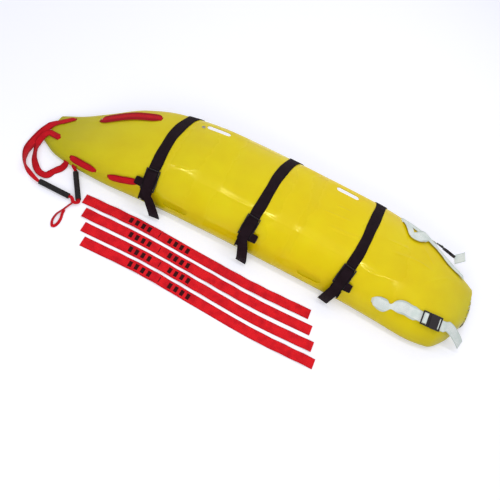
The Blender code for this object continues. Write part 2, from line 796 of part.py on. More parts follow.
FOOT_FAR_END = ((FOOT - 0.012, 0.9), (FOOT - 0.035, 0.8), (FOOT - 0.055, 0.7))
FOOT_TOP = PLAN[-1][3] * HULL_HEIGHT
FOOT_NEAR_END = (
    (FOOT + 0.03, -0.187, FOOT_TOP - 0.0499),
    (FOOT + 0.016, -0.186, FOOT_TOP - 0.0279),
    (FOOT - 0.008, -0.184, FOOT_TOP - 0.0079),
    (FOOT - 0.044, -0.184, FOOT_TOP + 0.0141),
    (FOOT - 0.08, -0.188, FOOT_TOP + 0.0341),
)


def foot_near_frame():
    """Placement of the near foot strap's buckle, with the plug towards the head."""
    x, q = FOOT_BUCKLE_X, FOOT_BUCKLE_Q
    normal = sheet_normal(x, q)
    along = sheet(x - 0.03, q + 0.1) - sheet(x + 0.03, q - 0.05)
    return frame_matrix(sheet(x, q) + normal * (BUCKLE_HEIGHT / 2 + WEBBING_GAP + 0.002), along, normal)


def foot_far_frame():
    """Placement of the far foot strap's buckle, which hangs edge-on beyond the drawn-in edge."""
    slope = math.radians(41)
    normal = Vector((0, math.cos(slope), math.sin(slope)))
    return frame_matrix(Vector(FOOT_FAR_BUCKLE), Vector((-1.0, 0.16, 0.12)), normal)


PLUG_BAR = TONGUE_BASE + TONGUE_SLOT + TONGUE_BAR / 2
PLUG_WRAP = 0.0056


def plug_stops():
    """Places of a band that comes to the plug on its upper side, goes round its bar and ends underneath."""
    stops = [(TONGUE_LENGTH + 0.003, PLUG_WRAP)]
    for k in range(7):
        angle = math.pi / 2 + math.pi * k / 6
        stops.append((PLUG_BAR + PLUG_WRAP * math.cos(angle), PLUG_WRAP * math.sin(angle)))
    return stops


def foot_straps():
    """White straps that draw the foot end together, each with its own buckle."""
    matrix = foot_near_frame()
    start, stop = FOOT_NEAR
    rows = sheet_rows(line_on_sheet(start, stop, True, False), WEBBING_WIDTH)[:-1]
    rows += local_rows(matrix, plug_stops(), WEBBING_WIDTH)
    strip("foot_strap_near", rows, WEBBING_THICKNESS, LOOKS["white_webbing"])
    loose = [Vector(p) for p in FOOT_NEAR_END]
    rows = rows_across(loose, (matrix.to_3x3() @ Vector((0, -1, 0))).normalized(), WEBBING_WIDTH)
    rows += local_rows_up(matrix, bar_stops(-0.004), WEBBING_WIDTH)
    strip("foot_end_near", rows, WEBBING_THICKNESS, LOOKS["white_webbing"])

    matrix = foot_far_frame()
    start, stop = FOOT_FAR
    rows = sheet_rows(line_on_sheet(start, stop, True, False), WEBBING_WIDTH)
    rows += local_rows(matrix, plug_stops(), WEBBING_WIDTH)
    strip("foot_strap_far", rows, WEBBING_THICKNESS, LOOKS["white_webbing"])
    end = [(x, q, LAY + SLACK) for x, q in FOOT_FAR_END]
    rows = sheet_rows(end, WEBBING_WIDTH * 0.8)
    rows += local_rows_up(matrix, bar_stops(-0.003), WEBBING_WIDTH)
    strip("foot_end_far", rows, WEBBING_THICKNESS, LOOKS["white_webbing"])


# Foot flap, from the floor up and in under the top: place past the end, height, near side, far side, share of bulge
FLAP = (
    (0.0014, 0.0018, -0.094, 0.094, 0.0),
    (0.0062, 0.0040, -0.094, 0.094, 0.5),
    (0.0100, 0.0160, -0.094, 0.094, 1.0),
    (0.0110, 0.0300, -0.093, 0.093, 1.0),
    (0.0095, 0.0420, -0.090, 0.086, 0.9),
    (0.0055, 0.0510, -0.082, 0.060, 0.5),
    (0.0005, 0.0548, -0.074, 0.040, 0.2),
    (-0.0100, 0.0570, -0.070, 0.036, 0.0),
    (-0.0350, 0.0590, -0.066, 0.030, 0.0),
    (-0.0650, 0.0615, -0.060, 0.026, 0.0),
)


def foot_flap():
    """The flap that closes the foot end: up outside the end of the floor and in under the top."""
    shares = [k / 3 - 1 for k in range(7)]
    grid = []
    for x, z, low, high, bulge in FLAP:
        line = []
        for s in shares:
            reach = FOOT + x + bulge * FLAP_BULGE * (1 - s * s)
            line.append(Vector((reach, (low + high) / 2 + s * (high - low) / 2, z)))
        grid.append(line)
    strip("foot_flap", with_normals(grid), SHEET_THICKNESS, LOOKS["sheet"])


def with_normals(grid):
    """Adds to each point of a grid the direction square to it."""
    rows = []
    for i, line in enumerate(grid):
        before, after = grid[max(i - 1, 0)], grid[min(i + 1, len(grid) - 1)]
        row = []
        for j, point in enumerate(line):
            across = line[min(j + 1, len(line) - 1)] - line[max(j - 1, 0)]
            row.append((point, across.cross(after[j] - before[j]).normalized()))
        rows.append(row)
    return rows


WALL = ((9.2, SLACK), (8.9, SLACK / 2), (8.6, 0.0))
GRIP_Z = GRIP_RADIUS + TOUCH_GAP
GRIPS = (
    ((HEAD + 0.102, NEAR_SIDE - 0.1695), (1.0, 0.006)),
    ((HEAD + 0.289, NEAR_SIDE - 0.163), (-0.567, 0.824)),
)
GRIP_APEX = (HEAD + 0.278, NEAR_SIDE - 0.1845, GRIP_Z)
OUTER_SWEEP = (
    ((HEAD - 0.012, -0.150, 0.036), 0),
    ((HEAD - 0.032, -0.190, 0.024), 0),
    ((HEAD - 0.044, NEAR_SIDE + 0.0185, 0.013), 12),
    ((HEAD - 0.042, NEAR_SIDE - 0.0415, 0.014), 55),
    ((HEAD - 0.022, NEAR_SIDE - 0.0895, 0.0158), 82),
    ((HEAD + 0.01, NEAR_SIDE - 0.1305, 0.0158), 82),
)
INNER_SWEEP = (
    ((HEAD - 0.006, -0.214, 0.033), 0),
    ((HEAD - 0.012, -0.248, 0.018), 0),
    ((HEAD - 0.006, NEAR_SIDE - 0.0315, 0.006), 8),
    ((HEAD + 0.018, NEAR_SIDE - 0.0785, 0.010), 30),
    ((HEAD + 0.06, NEAR_SIDE - 0.1075, 0.0158), 75),
    ((HEAD + 0.104, NEAR_SIDE - 0.1095, 0.0150), 65),
    ((HEAD + 0.128, NEAR_SIDE - 0.0835, 0.008), 25),
    ((HEAD + 0.141, NEAR_SIDE - 0.0535, 0.004), 0),
)
# The tow loop, as places from the apex between the grips
TOW = (
    (-0.002, 0),
    (-0.026, -0.029),
    (-0.045, -0.054),
    (-0.053, -0.087),
    (-0.044, -0.123),
    (-0.026, -0.142),
    (-0.015, -0.129),
    (-0.018, -0.097),
    (-0.031, -0.064),
    (-0.0375, -0.0495),
)


def grip_line(k):
    """Start and end of a grip's axis."""
    (x, y), (dx, dy) = GRIPS[k]
    start = Vector((x, y, GRIP_Z))
    return start, start + Vector((dx, dy, 0)).normalized() * GRIP_LENGTH


def bridle():
    """The haul bridle: two bands from the nose, one through both grips, and the tow loop."""
    look = LOOKS["red_webbing"]
    rows = sheet_rows(line_on_sheet(*NOSE_FAR, True, False), BRIDLE_WIDTH)
    stops = [(place, BRIDLE_WIDTH, turn) for place, turn in OUTER_SWEEP]
    stops.append(((HEAD + 0.05, NEAR_SIDE - 0.1555, GRIP_Z), 0.021, 40))
    for k in range(2):
        start, end = grip_line(k)
        for share in (-GRIP_LEAD, GRIP_LEAD, 1 - GRIP_LEAD, 1 + GRIP_LEAD):
            stops.append((start.lerp(end, share), BRIDLE_NECK, 0))
        if k == 0:
            stops.append((GRIP_APEX, BRIDLE_NECK, 0))
    rows += free_rows(stops, 3)
    rows += wall_rows(HEAD + 0.19)
    strip("bridle_outer", rows, WEBBING_THICKNESS, look)

    rows = sheet_rows(line_on_sheet(*NOSE_NEAR, True, False), BRIDLE_WIDTH)
    rows += free_rows([(place, BRIDLE_WIDTH, turn) for place, turn in INNER_SWEEP], 3)
    rows += rows_across([Vector((HEAD + 0.145, NEAR_SIDE - 0.0355, 0.007))], Vector((1, 0, 0)), BRIDLE_WIDTH)
    rows += wall_rows(HEAD + 0.147)
    strip("bridle_inner", rows, WEBBING_THICKNESS, look)

    apex_x, apex_y, _ = GRIP_APEX
    stops = [((apex_x + x, apex_y + y, TOW_WIDTH / 2 + TOUCH_GAP), TOW_WIDTH, 90) for x, y in TOW]
    strip("tow_loop", free_rows(stops, 3), WEBBING_THICKNESS, look)
    for k in range(2):
        tube(f"bridle_grip_{k + 1}", *grip_line(k), GRIP_RADIUS, GRIP_BORE, GRIP_SIDES, LOOKS["grip"])


def wall_rows(x):
    """Rows of a band's end that is fixed to the near wall."""
    return sheet_rows([(x, q, LAY + lift) for q, lift in WALL], BRIDLE_WIDTH * 0.85)


def tube(name, start, end, radius, bore, sides, look):
    """A hollow tube between two points."""
    axis = (end - start).normalized()
    side = axis.cross(Vector((0, 0, 1))).normalized()
    up = side.cross(axis)
    bm = bmesh.new()
    rings = []
    for centre, size in ((start, radius), (end, radius), (end, bore), (start, bore)):
        ring = []
        for k in range(sides):
            angle = 2 * math.pi * (k + 0.5) / sides
            ring.append(bm.verts.new(centre + (side * math.cos(angle) + up * math.sin(angle)) * size))
        rings.append(ring)
    for a in range(4):
        first, second = rings[a], rings[(a + 1) % 4]
        for k in range(sides):
            n = (k + 1) % sides
            bm.faces.new((first[k], first[n], second[n], second[k]))
    return add_object(name, mesh_from(name, bm), look)


def disc(bm, place, normal, radius, height, bore=0.0):
    """A small disc or ring that stands on a place, in an open mesh."""
    side = normal.orthogonal().normalized()
    up = normal.cross(side)
    sides = 10
    outline = [(radius, 0.0), (radius * 0.86, height)]
    if bore:
        outline += [(bore, height), (bore, 0.0)]
    rings = []
    for size, lift in outline:
        ring = []
        for k in range(sides):
            angle = 2 * math.pi * k / sides
            ring.append(bm.verts.new(place + normal * lift + (side * math.cos(angle) + up * math.sin(angle)) * size))
        rings.append(ring)
    pairs = list(zip(rings, rings[1:]))
    if bore:
        pairs.append((rings[-1], rings[0]))
    else:
        bm.faces.new(rings[0])
        bm.faces.new(rings[1])
    for first, second in pairs:
        for k in range(sides):
            n = (k + 1) % sides
            bm.faces.new((first[k], first[n], second[n], second[k]))


def strap_rivets():
    """Rivets through the cross straps' short ends on the near wall."""
    for kind in STRAPS:
        middle = strap_line(kind).at(BUCKLE_Q)
        for k, side in enumerate((-RIVET_SPREAD, RIVET_SPREAD)):
            x, q = middle + side, NEAR_ANCHOR_Q - 0.15
            normal = sheet_normal(x, q)
            lift = LAY + WEBBING_THICKNESS / 2 + WEBBING_GAP
            bm = bmesh.new()
            disc(bm, sheet(x, q) + normal * lift, normal, RIVET_RADIUS, RIVET_HEIGHT)
            name = f"{kind}_rivet_{k + 1}"
            add_object(name, mesh_from(name, bm), LOOKS["metal"])


def sheet_grommets():
    """Small eyelets near the free edge."""
    for k, (x, q) in enumerate(GROMMETS):
        normal = sheet_normal(x, q)
        bm = bmesh.new()
        disc(bm, sheet(x, q) + normal * WEBBING_GAP, normal, GROMMET_RADIUS, GROMMET_HEIGHT, GROMMET_BORE)
        name = f"grommet_{k + 1}"
        add_object(name, mesh_from(name, bm), LOOKS["metal"])


def carry_straps():
    """Four loose carry straps, laid side by side on the floor."""
    for k in range(4):
        y = CARRY_FIRST_Y - k * CARRY_PITCH
        x = CARRY_START_X + k * CARRY_SHIFT
        z = WEBBING_THICKNESS / 2
        bow = 0.010
        stops = []
        for j in range(5):
            t = j / 4
            side = bow * math.sin(2 * math.pi * t) - 0.006 * k * t
            stops.append(((x + CARRY_LENGTH * t, y + side, z), WEBBING_WIDTH, 0.0))
        rows = free_rows(stops, 3)
        strip(f"carry_strap_{k + 1}", rows, WEBBING_THICKNESS, LOOKS["red_webbing"])


def main():
    clear_scene()
    LOOKS.update(
        sheet=material("moulded_polyethylene_yellow", (226, 204, 28), 0.35),
        black_webbing=material("black_nylon_webbing", (30, 18, 24), 0.8),
        red_webbing=material("red_nylon_webbing", (214, 26, 34), 0.75),
        white_webbing=material("white_nylon_webbing", (230, 238, 228), 0.75),
        buckle=material("black_acetal", (26, 20, 22), 0.4),
        grip=material("black_rubber_tube", (22, 20, 20), 0.6),
        metal=material("nickel_plated_brass", (190, 188, 180), 0.3, 1.0),
    )
    hull_sheet()
    meshes = {"body": buckle_body_mesh(), "tongue": tongue_mesh(), "a": prong_mesh(1), "b": prong_mesh(-1)}
    for kind in STRAPS:
        buckle(kind, buckle_frame(kind), meshes, LOOKS["buckle"])
        cross_strap(kind)
        anchor_strap(kind)
    buckle("foot_near", foot_near_frame(), meshes, LOOKS["buckle"])
    buckle("foot_far", foot_far_frame(), meshes, LOOKS["buckle"])
    handles()
    foot_straps()
    foot_flap()
    bridle()
    strap_rivets()
    sheet_grommets()
    carry_straps()


LOOKS = {}
main()
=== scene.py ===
# %% [markdown]
# # Roll-up rescue stretcher
#
# A sheet of tough plastic closes round the person, strapped with black webbing and hauled by a red bridle.
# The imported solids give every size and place. This lesson dresses them: the sheet becomes a creased skin,
# and every strap woven webbing.

# %% The frame
import json
import math

import bmesh
import bpy
import numpy as np
from mathutils import Matrix, Vector


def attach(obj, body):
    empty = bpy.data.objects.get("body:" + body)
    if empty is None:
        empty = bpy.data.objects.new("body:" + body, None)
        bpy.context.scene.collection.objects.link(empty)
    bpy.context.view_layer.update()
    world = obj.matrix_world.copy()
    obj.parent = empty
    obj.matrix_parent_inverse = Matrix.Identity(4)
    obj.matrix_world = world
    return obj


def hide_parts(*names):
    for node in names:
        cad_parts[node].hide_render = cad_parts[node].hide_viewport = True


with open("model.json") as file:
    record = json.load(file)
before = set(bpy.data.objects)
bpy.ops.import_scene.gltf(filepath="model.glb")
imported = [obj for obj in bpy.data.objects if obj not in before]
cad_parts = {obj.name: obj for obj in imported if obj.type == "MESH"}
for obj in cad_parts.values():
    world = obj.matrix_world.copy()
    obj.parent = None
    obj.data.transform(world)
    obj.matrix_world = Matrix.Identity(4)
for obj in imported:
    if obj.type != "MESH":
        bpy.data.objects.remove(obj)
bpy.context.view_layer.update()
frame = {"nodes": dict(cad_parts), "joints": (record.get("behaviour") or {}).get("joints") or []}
NODES = frame["nodes"]
ROOT = "stretcher"

# %% [markdown]
# ## Camera
#
# The photograph looks down on the stretcher's near side, with the camera rolled so that the pod runs down
# across the picture. The focal length in pixels turns into millimetres by the sensor's width, and an
# elevation and a roll give the direction of view.

# %% Camera
PICTURE = 500
FOCAL_PIXELS = 715
SENSOR = 36.0
ELEVATION = math.radians(57)
ROLL = math.radians(27.3)
DISTANCE = 3.25
TARGET = Vector((0.02, -0.235, 0.0))


def linked(name, data):
    """A new object in the scene."""
    made = bpy.data.objects.new(name, data)
    bpy.context.scene.collection.objects.link(made)
    return made


forward = Vector((0, math.cos(ELEVATION), -math.sin(ELEVATION)))
level_right = Vector((1, 0, 0))
level_up = level_right.cross(forward)
right = level_right * math.cos(ROLL) + level_up * math.sin(ROLL)
up = level_up * math.cos(ROLL) - level_right * math.sin(ROLL)

camera = linked("camera", bpy.data.cameras.new("camera"))
camera.data.sensor_width = SENSOR
camera.data.lens = FOCAL_PIXELS / PICTURE * SENSOR
axes = Matrix((right, up, -forward)).transposed().to_4x4()
camera.matrix_world = Matrix.Translation(TARGET - forward * DISTANCE) @ axes
bpy.context.scene.camera = camera
bpy.context.scene.view_settings.view_transform = "Standard"
print("lens", round(camera.data.lens, 1), "mm")

# %% [markdown]
# ## Colours and nodes
#
# Colours are written as the hex values that a screen shows. Shaders want linear light, so one function
# converts them. Another adds a shader node, sets its values and links its inputs, which keeps each material
# short.


# %% Colour and node helpers
def linear(code):
    """Linear red, green, blue and alpha from a hex value."""
    out = []
    for k in (1, 3, 5):
        c = int(code[k : k + 2], 16) / 255
        out.append(c / 12.92 if c <= 0.04045 else ((c + 0.055) / 1.055) ** 2.4)
    return (*out, 1.0)


def wire(node, inputs):
    """Sets named or successive inputs, or links them to a socket or to a node's first output."""
    for socket, value in inputs.items() if isinstance(inputs, dict) else enumerate(inputs):
        if isinstance(value, bpy.types.Node):
            value = value.outputs[0]
        if isinstance(value, bpy.types.NodeSocket):
            node.id_data.links.new(value, node.inputs[socket])
        else:
            node.inputs[socket].default_value = value


def add(tree, kind, inputs=(), stops=(), **settings):
    """A node with its settings and inputs, and with its colour stops if it is a ramp."""
    node = tree.nodes.new("ShaderNode" + kind)
    for name, value in settings.items():
        setattr(node, name, value)
    wire(node, inputs)
    for k, (place, code) in enumerate(stops):
        elements = node.color_ramp.elements
        element = elements[k] if k < 2 else elements.new(place)
        element.position = place
        element.color = linear(code)
    return node


def named_finish(name, values):
    """A new material with its shader's plain values, its tree, its shader and the object's coordinates."""
    made = bpy.data.materials.new(name)
    made.use_nodes = True
    tree = made.node_tree
    shader = tree.nodes["Principled BSDF"]
    wire(shader, values)
    return made, tree, shader, add(tree, "TexCoord").outputs["Object"]


print("half grey on the screen is", round(linear("#808080")[0], 2), "in linear light")

# %% [markdown]
# ## Floor and light
#
# The picture has a white sweep with a faint soft shadow. The floor is diffuse, and adds a little light of
# its own only to what the camera and reflections see, so that it reads as white while the shadow stays. Two
# large lamps give an even light and leave no reflection, and a thin strip overhead draws the streaks along
# the crests.

# %% Floor and light
FLOOR_SIZE = 12.0
# just under the object, so that no face of it lies in the floor
FLOOR_DROP = 0.0006
FLOOR_GLOW = 0.3
SKY_GIVEN, SKY_SEEN = 0.56, 1.0


def bare_tree(made):
    """The empty node tree of a material or a world."""
    made.use_nodes = True
    made.node_tree.nodes.clear()
    return made.node_tree


def camera_or_mirror(tree):
    """One where a ray comes from the camera, a reflection or a clear surface."""
    path = add(tree, "LightPath").outputs
    seen = add(tree, "Math", [path["Is Camera Ray"], path["Is Glossy Ray"]], operation="MAXIMUM")
    return add(tree, "Math", [seen, path["Is Transmission Ray"]], operation="MAXIMUM")


def studio_floor():
    """A pale sheet that looks white and still takes the object's shadow."""
    half = FLOOR_SIZE / 2
    mesh = bpy.data.meshes.new("floor")
    corners = [(-half, -half, 0), (half, -half, 0), (half, half, 0), (-half, half, 0)]
    mesh.from_pydata(corners, [], [(0, 1, 2, 3)])
    floor = linked("floor", mesh)
    floor.location.z = -FLOOR_DROP
    made = bpy.data.materials.new("studio_paper")
    tree = bare_tree(made)
    paper = add(tree, "BsdfDiffuse", {"Color": linear("#E6E7F2")})
    glow = add(tree, "Math", [camera_or_mirror(tree), FLOOR_GLOW], operation="MULTIPLY")
    light = add(tree, "Emission", {"Color": linear("#FFFFFF"), "Strength": glow})
    both = add(tree, "AddShader", [paper, light])
    add(tree, "OutputMaterial", {"Surface": both})
    mesh.materials.append(made)


def studio_world():
    """An even sky that lights the object less than it looks to the camera."""
    world = bpy.data.worlds.new("studio")
    bpy.context.scene.world = world
    tree = bare_tree(world)
    level = add(tree, "MapRange", {0: camera_or_mirror(tree), 3: SKY_GIVEN, 4: SKY_SEEN})
    sky = add(tree, "Background", {"Color": linear("#F4F5FA"), "Strength": level})
    add(tree, "OutputWorld", {"Surface": sky})


def soft_box(name, place, aim, size, watts, mirrored=True):
    """A rectangular lamp that faces a point, and that glossy surfaces reflect or not."""
    data = bpy.data.lights.new(name, "AREA")
    data.shape = "RECTANGLE"
    data.size, data.size_y = size
    data.energy = watts
    lamp = linked(name, data)
    lamp.location = place
    lamp.visible_glossy = mirrored
    lamp.rotation_euler = (Vector(aim) - Vector(place)).to_track_quat("-Z", "Y").to_euler()
    print(name, watts, "W")


studio_floor()
studio_world()
soft_box("strip_above", (0.5, 0.12, 2.7), (0.5, -0.05, 0), (3.6, 0.045), 19)
soft_box("near_box", (-0.2, -2.6, 1.7), (0, -0.2, 0), (2.4, 1.2), 29, mirrored=False)
soft_box("far_box", (0.5, 2.0, 2.3), (0, -0.1, 0), (2.4, 1.0), 16, mirrored=False)

# %% [markdown]
# ## The form of the sheet
#
# The pod is one sheet, so its shape is a section swept along the length: from the free edge on the far
# side, over the top, down the near side, along the floor and up inside the far wall. A plan gives each
# station's width and height, and monotone cubics join the stations without overshoot, as a bent sheet
# would.

# %% The form of the sheet
HULL_LENGTH = 2.08
HALF_WIDTH = 0.517 / 2
HULL_HEIGHT = 0.205
SHEET_THICK = 0.003
FLOOR_END = 12

# share of the length, near and far side as shares of the half width, height, rise of the tucked wall
PLAN = [
    (-0.5, -0.86, -0.24, 0.14, 0.72),
    (-0.46, -1.03, -0.1, 0.29, 0.9),
    (-0.41, -1.1, 0.14, 0.51, 1.0),
    (-0.34, -1.13, 0.52, 0.76, 1.0),
    (-0.265, -1.1, 0.755, 0.9, 1.0),
    (-0.145, -1.06, 0.91, 0.98, 1.0),
    (0.0, -1.05, 0.95, 1.0, 1.0),
    (0.215, -1.06, 0.97, 0.98, 1.0),
    (0.325, -1.1, 0.91, 0.9, 1.0),
    (0.385, -1.13, 0.755, 0.8, 1.0),
    (0.442, -1.07, 0.55, 0.66, 1.0),
    (0.476, -0.8, 0.48, 0.52, 1.0),
    (0.5, -0.42, 0.42, 0.38, 1.0),
]
# across and up, as shares of the half width and of the height: top, near side, floor and tucked wall
SECTION = [
    (0.99, 0.63), (0.9, 0.77), (0.72, 0.88), (0.42, 0.965), (0.05, 1.0), (-0.35, 0.975),
    (-0.66, 0.87), (-0.86, 0.68), (-0.96, 0.44), (-1.0, 0.2), (-0.965, 0.06), (-0.88, 0.0),
    (0.62, 0.0), (0.76, 0.05), (0.825, 0.2), (0.83, 0.4), (0.77, 0.58), (0.62, 0.7), (0.42, 0.755),
]


def monotone(knots, values):
    """A function that runs smoothly through values and keeps flat stretches flat."""
    knots, values = np.array(knots), np.array(values)
    steps, rises = np.diff(knots), np.diff(values) / np.diff(knots)
    slopes = [rises[0]]
    for a, b, before, after in zip(steps[:-1], steps[1:], rises[:-1], rises[1:]):
        w1, w2 = 2 * b + a, b + 2 * a
        slopes.append(0.0 if before * after <= 0 else (w1 + w2) / (w1 / before + w2 / after))
    slopes = np.array(slopes + [rises[-1]])

    def at(t):
        k = np.clip(np.searchsorted(knots, t) - 1, 0, len(steps) - 1)
        h = steps[k]
        u = (t - knots[k]) / h
        inside = np.clip(u, 0, 1)
        a, b, m, n = values[k], values[k + 1], slopes[k] * h, slopes[k + 1] * h
        curve = a * (1 + 2 * inside) * (1 - inside) ** 2 + m * inside * (1 - inside) ** 2
        curve = curve + b * inside**2 * (3 - 2 * inside) + n * inside**2 * (inside - 1)
        return curve + np.minimum(u, 0) * m + np.maximum(u - 1, 0) * n

    return at


points = np.array(SECTION) * (HALF_WIDTH, HULL_HEIGHT)
KNOTS = np.concatenate(([0], np.cumsum(np.hypot(*np.diff(points, axis=0).T))))
across_at = monotone(KNOTS, [y for y, _ in SECTION])
rise_at = monotone(KNOTS, [z for _, z in SECTION])
STATIONS = [row[0] * HULL_LENGTH for row in PLAN]
near_at, far_at = (monotone(STATIONS, [row[k] * HALF_WIDTH for row in PLAN]) for k in (1, 2))
height_at = monotone(STATIONS, [row[3] * HULL_HEIGHT for row in PLAN])
tuck_at = monotone(STATIONS, [row[4] for row in PLAN])


def metres_across(q):
    """Distance from the free edge to a position that counts the section's points."""
    return np.interp(q, np.arange(len(KNOTS)), KNOTS)


def plain_skin(x, q):
    """The smooth outer surface, by place along the length and position in the section."""
    t = metres_across(q)
    near, far = near_at(x), far_at(x)
    lift = rise_at(t) * np.where(q > FLOOR_END, tuck_at(x), 1.0) * height_at(x)
    return np.stack(np.broadcast_arrays(x, (near + far) / 2 + across_at(t) * (far - near) / 2, lift), -1)


print("sheet, cut flat at the middle", round(float(KNOTS[-1]), 3), "m wide")

# %% [markdown]
# ## Ridges and dents
#
# Plastic that has been rolled up keeps ridges and dents. Each ridge is a line with two flat flanks, added
# outwards: a flat flank turns a whole strip of plastic to one lamp, and so it shines as a clear streak.
# Slow waves keep the large faces from looking machined.

# %% Ridges and dents
# start and end as (along, position in the section), steepness of the flanks and their width in metres
RIDGES = [
    ((-0.6, 5.74), (-0.45, 5.34), 0.06, 0.012),
    ((-0.45, 5.3), (-0.33, 5.02), 0.15, 0.01),
    ((-0.33, 5.66), (-0.02, 5.66), 0.064, 0.011),
    ((0.0, 5.66), (0.3, 5.68), 0.063, 0.012),
    ((0.29, 5.7), (0.58, 5.74), 0.062, 0.013),
    ((0.52, 5.8), (0.67, 5.28), 0.05, 0.012),
    ((0.28, 4.62), (0.44, 4.44), 0.244, 0.011),
    ((0.23, 3.98), (0.37, 3.82), 0.342, 0.008),
    ((0.28, 3.34), (0.35, 3.26), 0.442, 0.006),
    ((0.58, 4.2), (0.8, 3.45), 0.31, 0.009),
    ((0.61, 3.82), (0.655, 3.35), 0.2, 0.009),
    ((0.55, 3.68), (0.66, 3.44), 0.36, 0.007),
    ((0.78, 4.45), (0.9, 2.7), 0.2, 0.012),
    ((0.7, 2.3), (0.8, 3.1), 0.15, 0.012),
    ((0.22, 7.6), (0.36, 7.8), 0.1, 0.014),
    ((-0.42, 7.7), (-0.3, 8.05), 0.12, 0.014),
]
# roundness of a ridge's crest and feet as shares of its width, and the rise of its ends
CREST, FEET, END_RISE = 0.15, 0.12, 2.2
# each slow wave's height, turn for a metre along and for a step of the section, and start
WAVES = ((0.0011, 6.3, 0.9, 0.0), (0.0009, 11.0, -1.7, 1.0))
RIPPLE = 0.0003
# where in the section the waves begin and end, and how long they fade
WAVES_FROM, FADE_IN, WAVES_TO, FADE_OUT = 0.8, 1.5, 9.5, 2
# where a buckle presses the sheet flat, and how far
PRESSED = ((-0.508, 6.62), (-0.03, 6.62), (0.44, 6.62), (0.862, 6.1))
PRESSED_ALONG, PRESSED_ACROSS = 0.055, 0.1
STEP = 1e-4


def wrinkle(x, q):
    """How far the skin stands proud of the smooth form."""
    slow = sum(high * np.sin(along * x + across * q + start) for high, along, across, start in WAVES)
    slow = slow + RIPPLE * np.sin(37.0 * x + 2.3 * q) * np.sin(3.1 * q - 9.0 * x)
    total = slow * np.clip((q - WAVES_FROM) / FADE_IN, 0, 1) * np.clip((WAVES_TO - q) / FADE_OUT, 0, 1)
    t = metres_across(q)
    for (x0, q0), (x1, q1), slope, width in RIDGES:
        t0 = metres_across(q0)
        ax, at = x1 - x0, metres_across(q1) - t0
        share = np.clip(((x - x0) * ax + (t - t0) * at) / (ax * ax + at * at), 0, 1)
        off = np.hypot(x - x0 - share * ax, t - t0 - share * at)
        room = 1 - np.hypot(off / width, CREST)
        profile = (np.hypot(room, FEET) + room) / 2
        fade = np.clip(np.sin(np.pi * np.clip(share, 0.01, 0.99)) * END_RISE, 0, 1)
        total = total + slope * width * profile * fade
    for x0, q0 in PRESSED:
        along, across = (x - x0) / PRESSED_ALONG, (t - metres_across(q0)) / PRESSED_ACROSS
        total = total * (1 - np.exp(-(along**2) - across**2))
    return total


def unit(v):
    """Directions of length one."""
    return v / np.linalg.norm(v, axis=-1, keepdims=True)


def moves(x, q):
    """How the smooth form moves over two small steps along, and over two across."""
    along = plain_skin(x + STEP, q) - plain_skin(x - STEP, q)
    return along, plain_skin(x, q + STEP) - plain_skin(x, q - STEP)


def outward(x, q):
    """Directions square to the smooth form."""
    along, across = moves(x, q)
    return unit(np.cross(across, along))


def skin(x, q):
    """The creased outer surface."""
    return plain_skin(x, q) + outward(x, q) * wrinkle(x, q)[..., None]


print("ridges", len(RIDGES), "up to", round(max(s * w for _, _, s, w in RIDGES) * 1000, 1), "mm high")

# %% [markdown]
# ## Polyethylene
#
# The sheet is rolled high-density polyethylene, coloured right through. Most light comes back from just
# under its waxy surface, so it reads as flat bright colour until a crease catches a lamp. The gloss is
# tinted, because part of it comes from below the first film of plastic.

# %% Polyethylene
# the yellow along the length, with painted shade that makes it darker and greener towards both ends, where
# the pod narrows
YELLOW_WITH_END_SHADE = (
    (0.0, "#CFC323"), (0.14, "#DAC81C"), (0.32, "#E8D10E"),
    (0.62, "#F2D307"), (0.88, "#EED10B"), (1.0, "#DCCB18"),
)
DULL, SATIN, SLEEK, BRIGHT = "#FFFFFF", "#606060", "#303030", "#000000"
# share of the length, 0.03 ahead for the clouding, and how handling left the crest there
DULL_STRETCHES = (
    (0.292, DULL), (0.305, BRIGHT), (0.355, BRIGHT), (0.375, DULL), (0.415, DULL), (0.43, SATIN),
    (0.52, SLEEK), (0.55, BRIGHT), (0.565, DULL), (0.59, DULL), (0.605, SLEEK), (0.63, DULL),
    (0.73, DULL), (0.755, BRIGHT), (0.835, BRIGHT), (0.865, DULL),
)
# roughness that a dulled stretch adds, and how far the clouding shifts it along
DULLED, SHIFTED = 0.34, 0.06
# how strongly the painted shade near the floor darkens the sheet, and how strongly the clouding tints it
FLOOR_SHADE_STRENGTH, CLOUDED = 0.55, 0.45


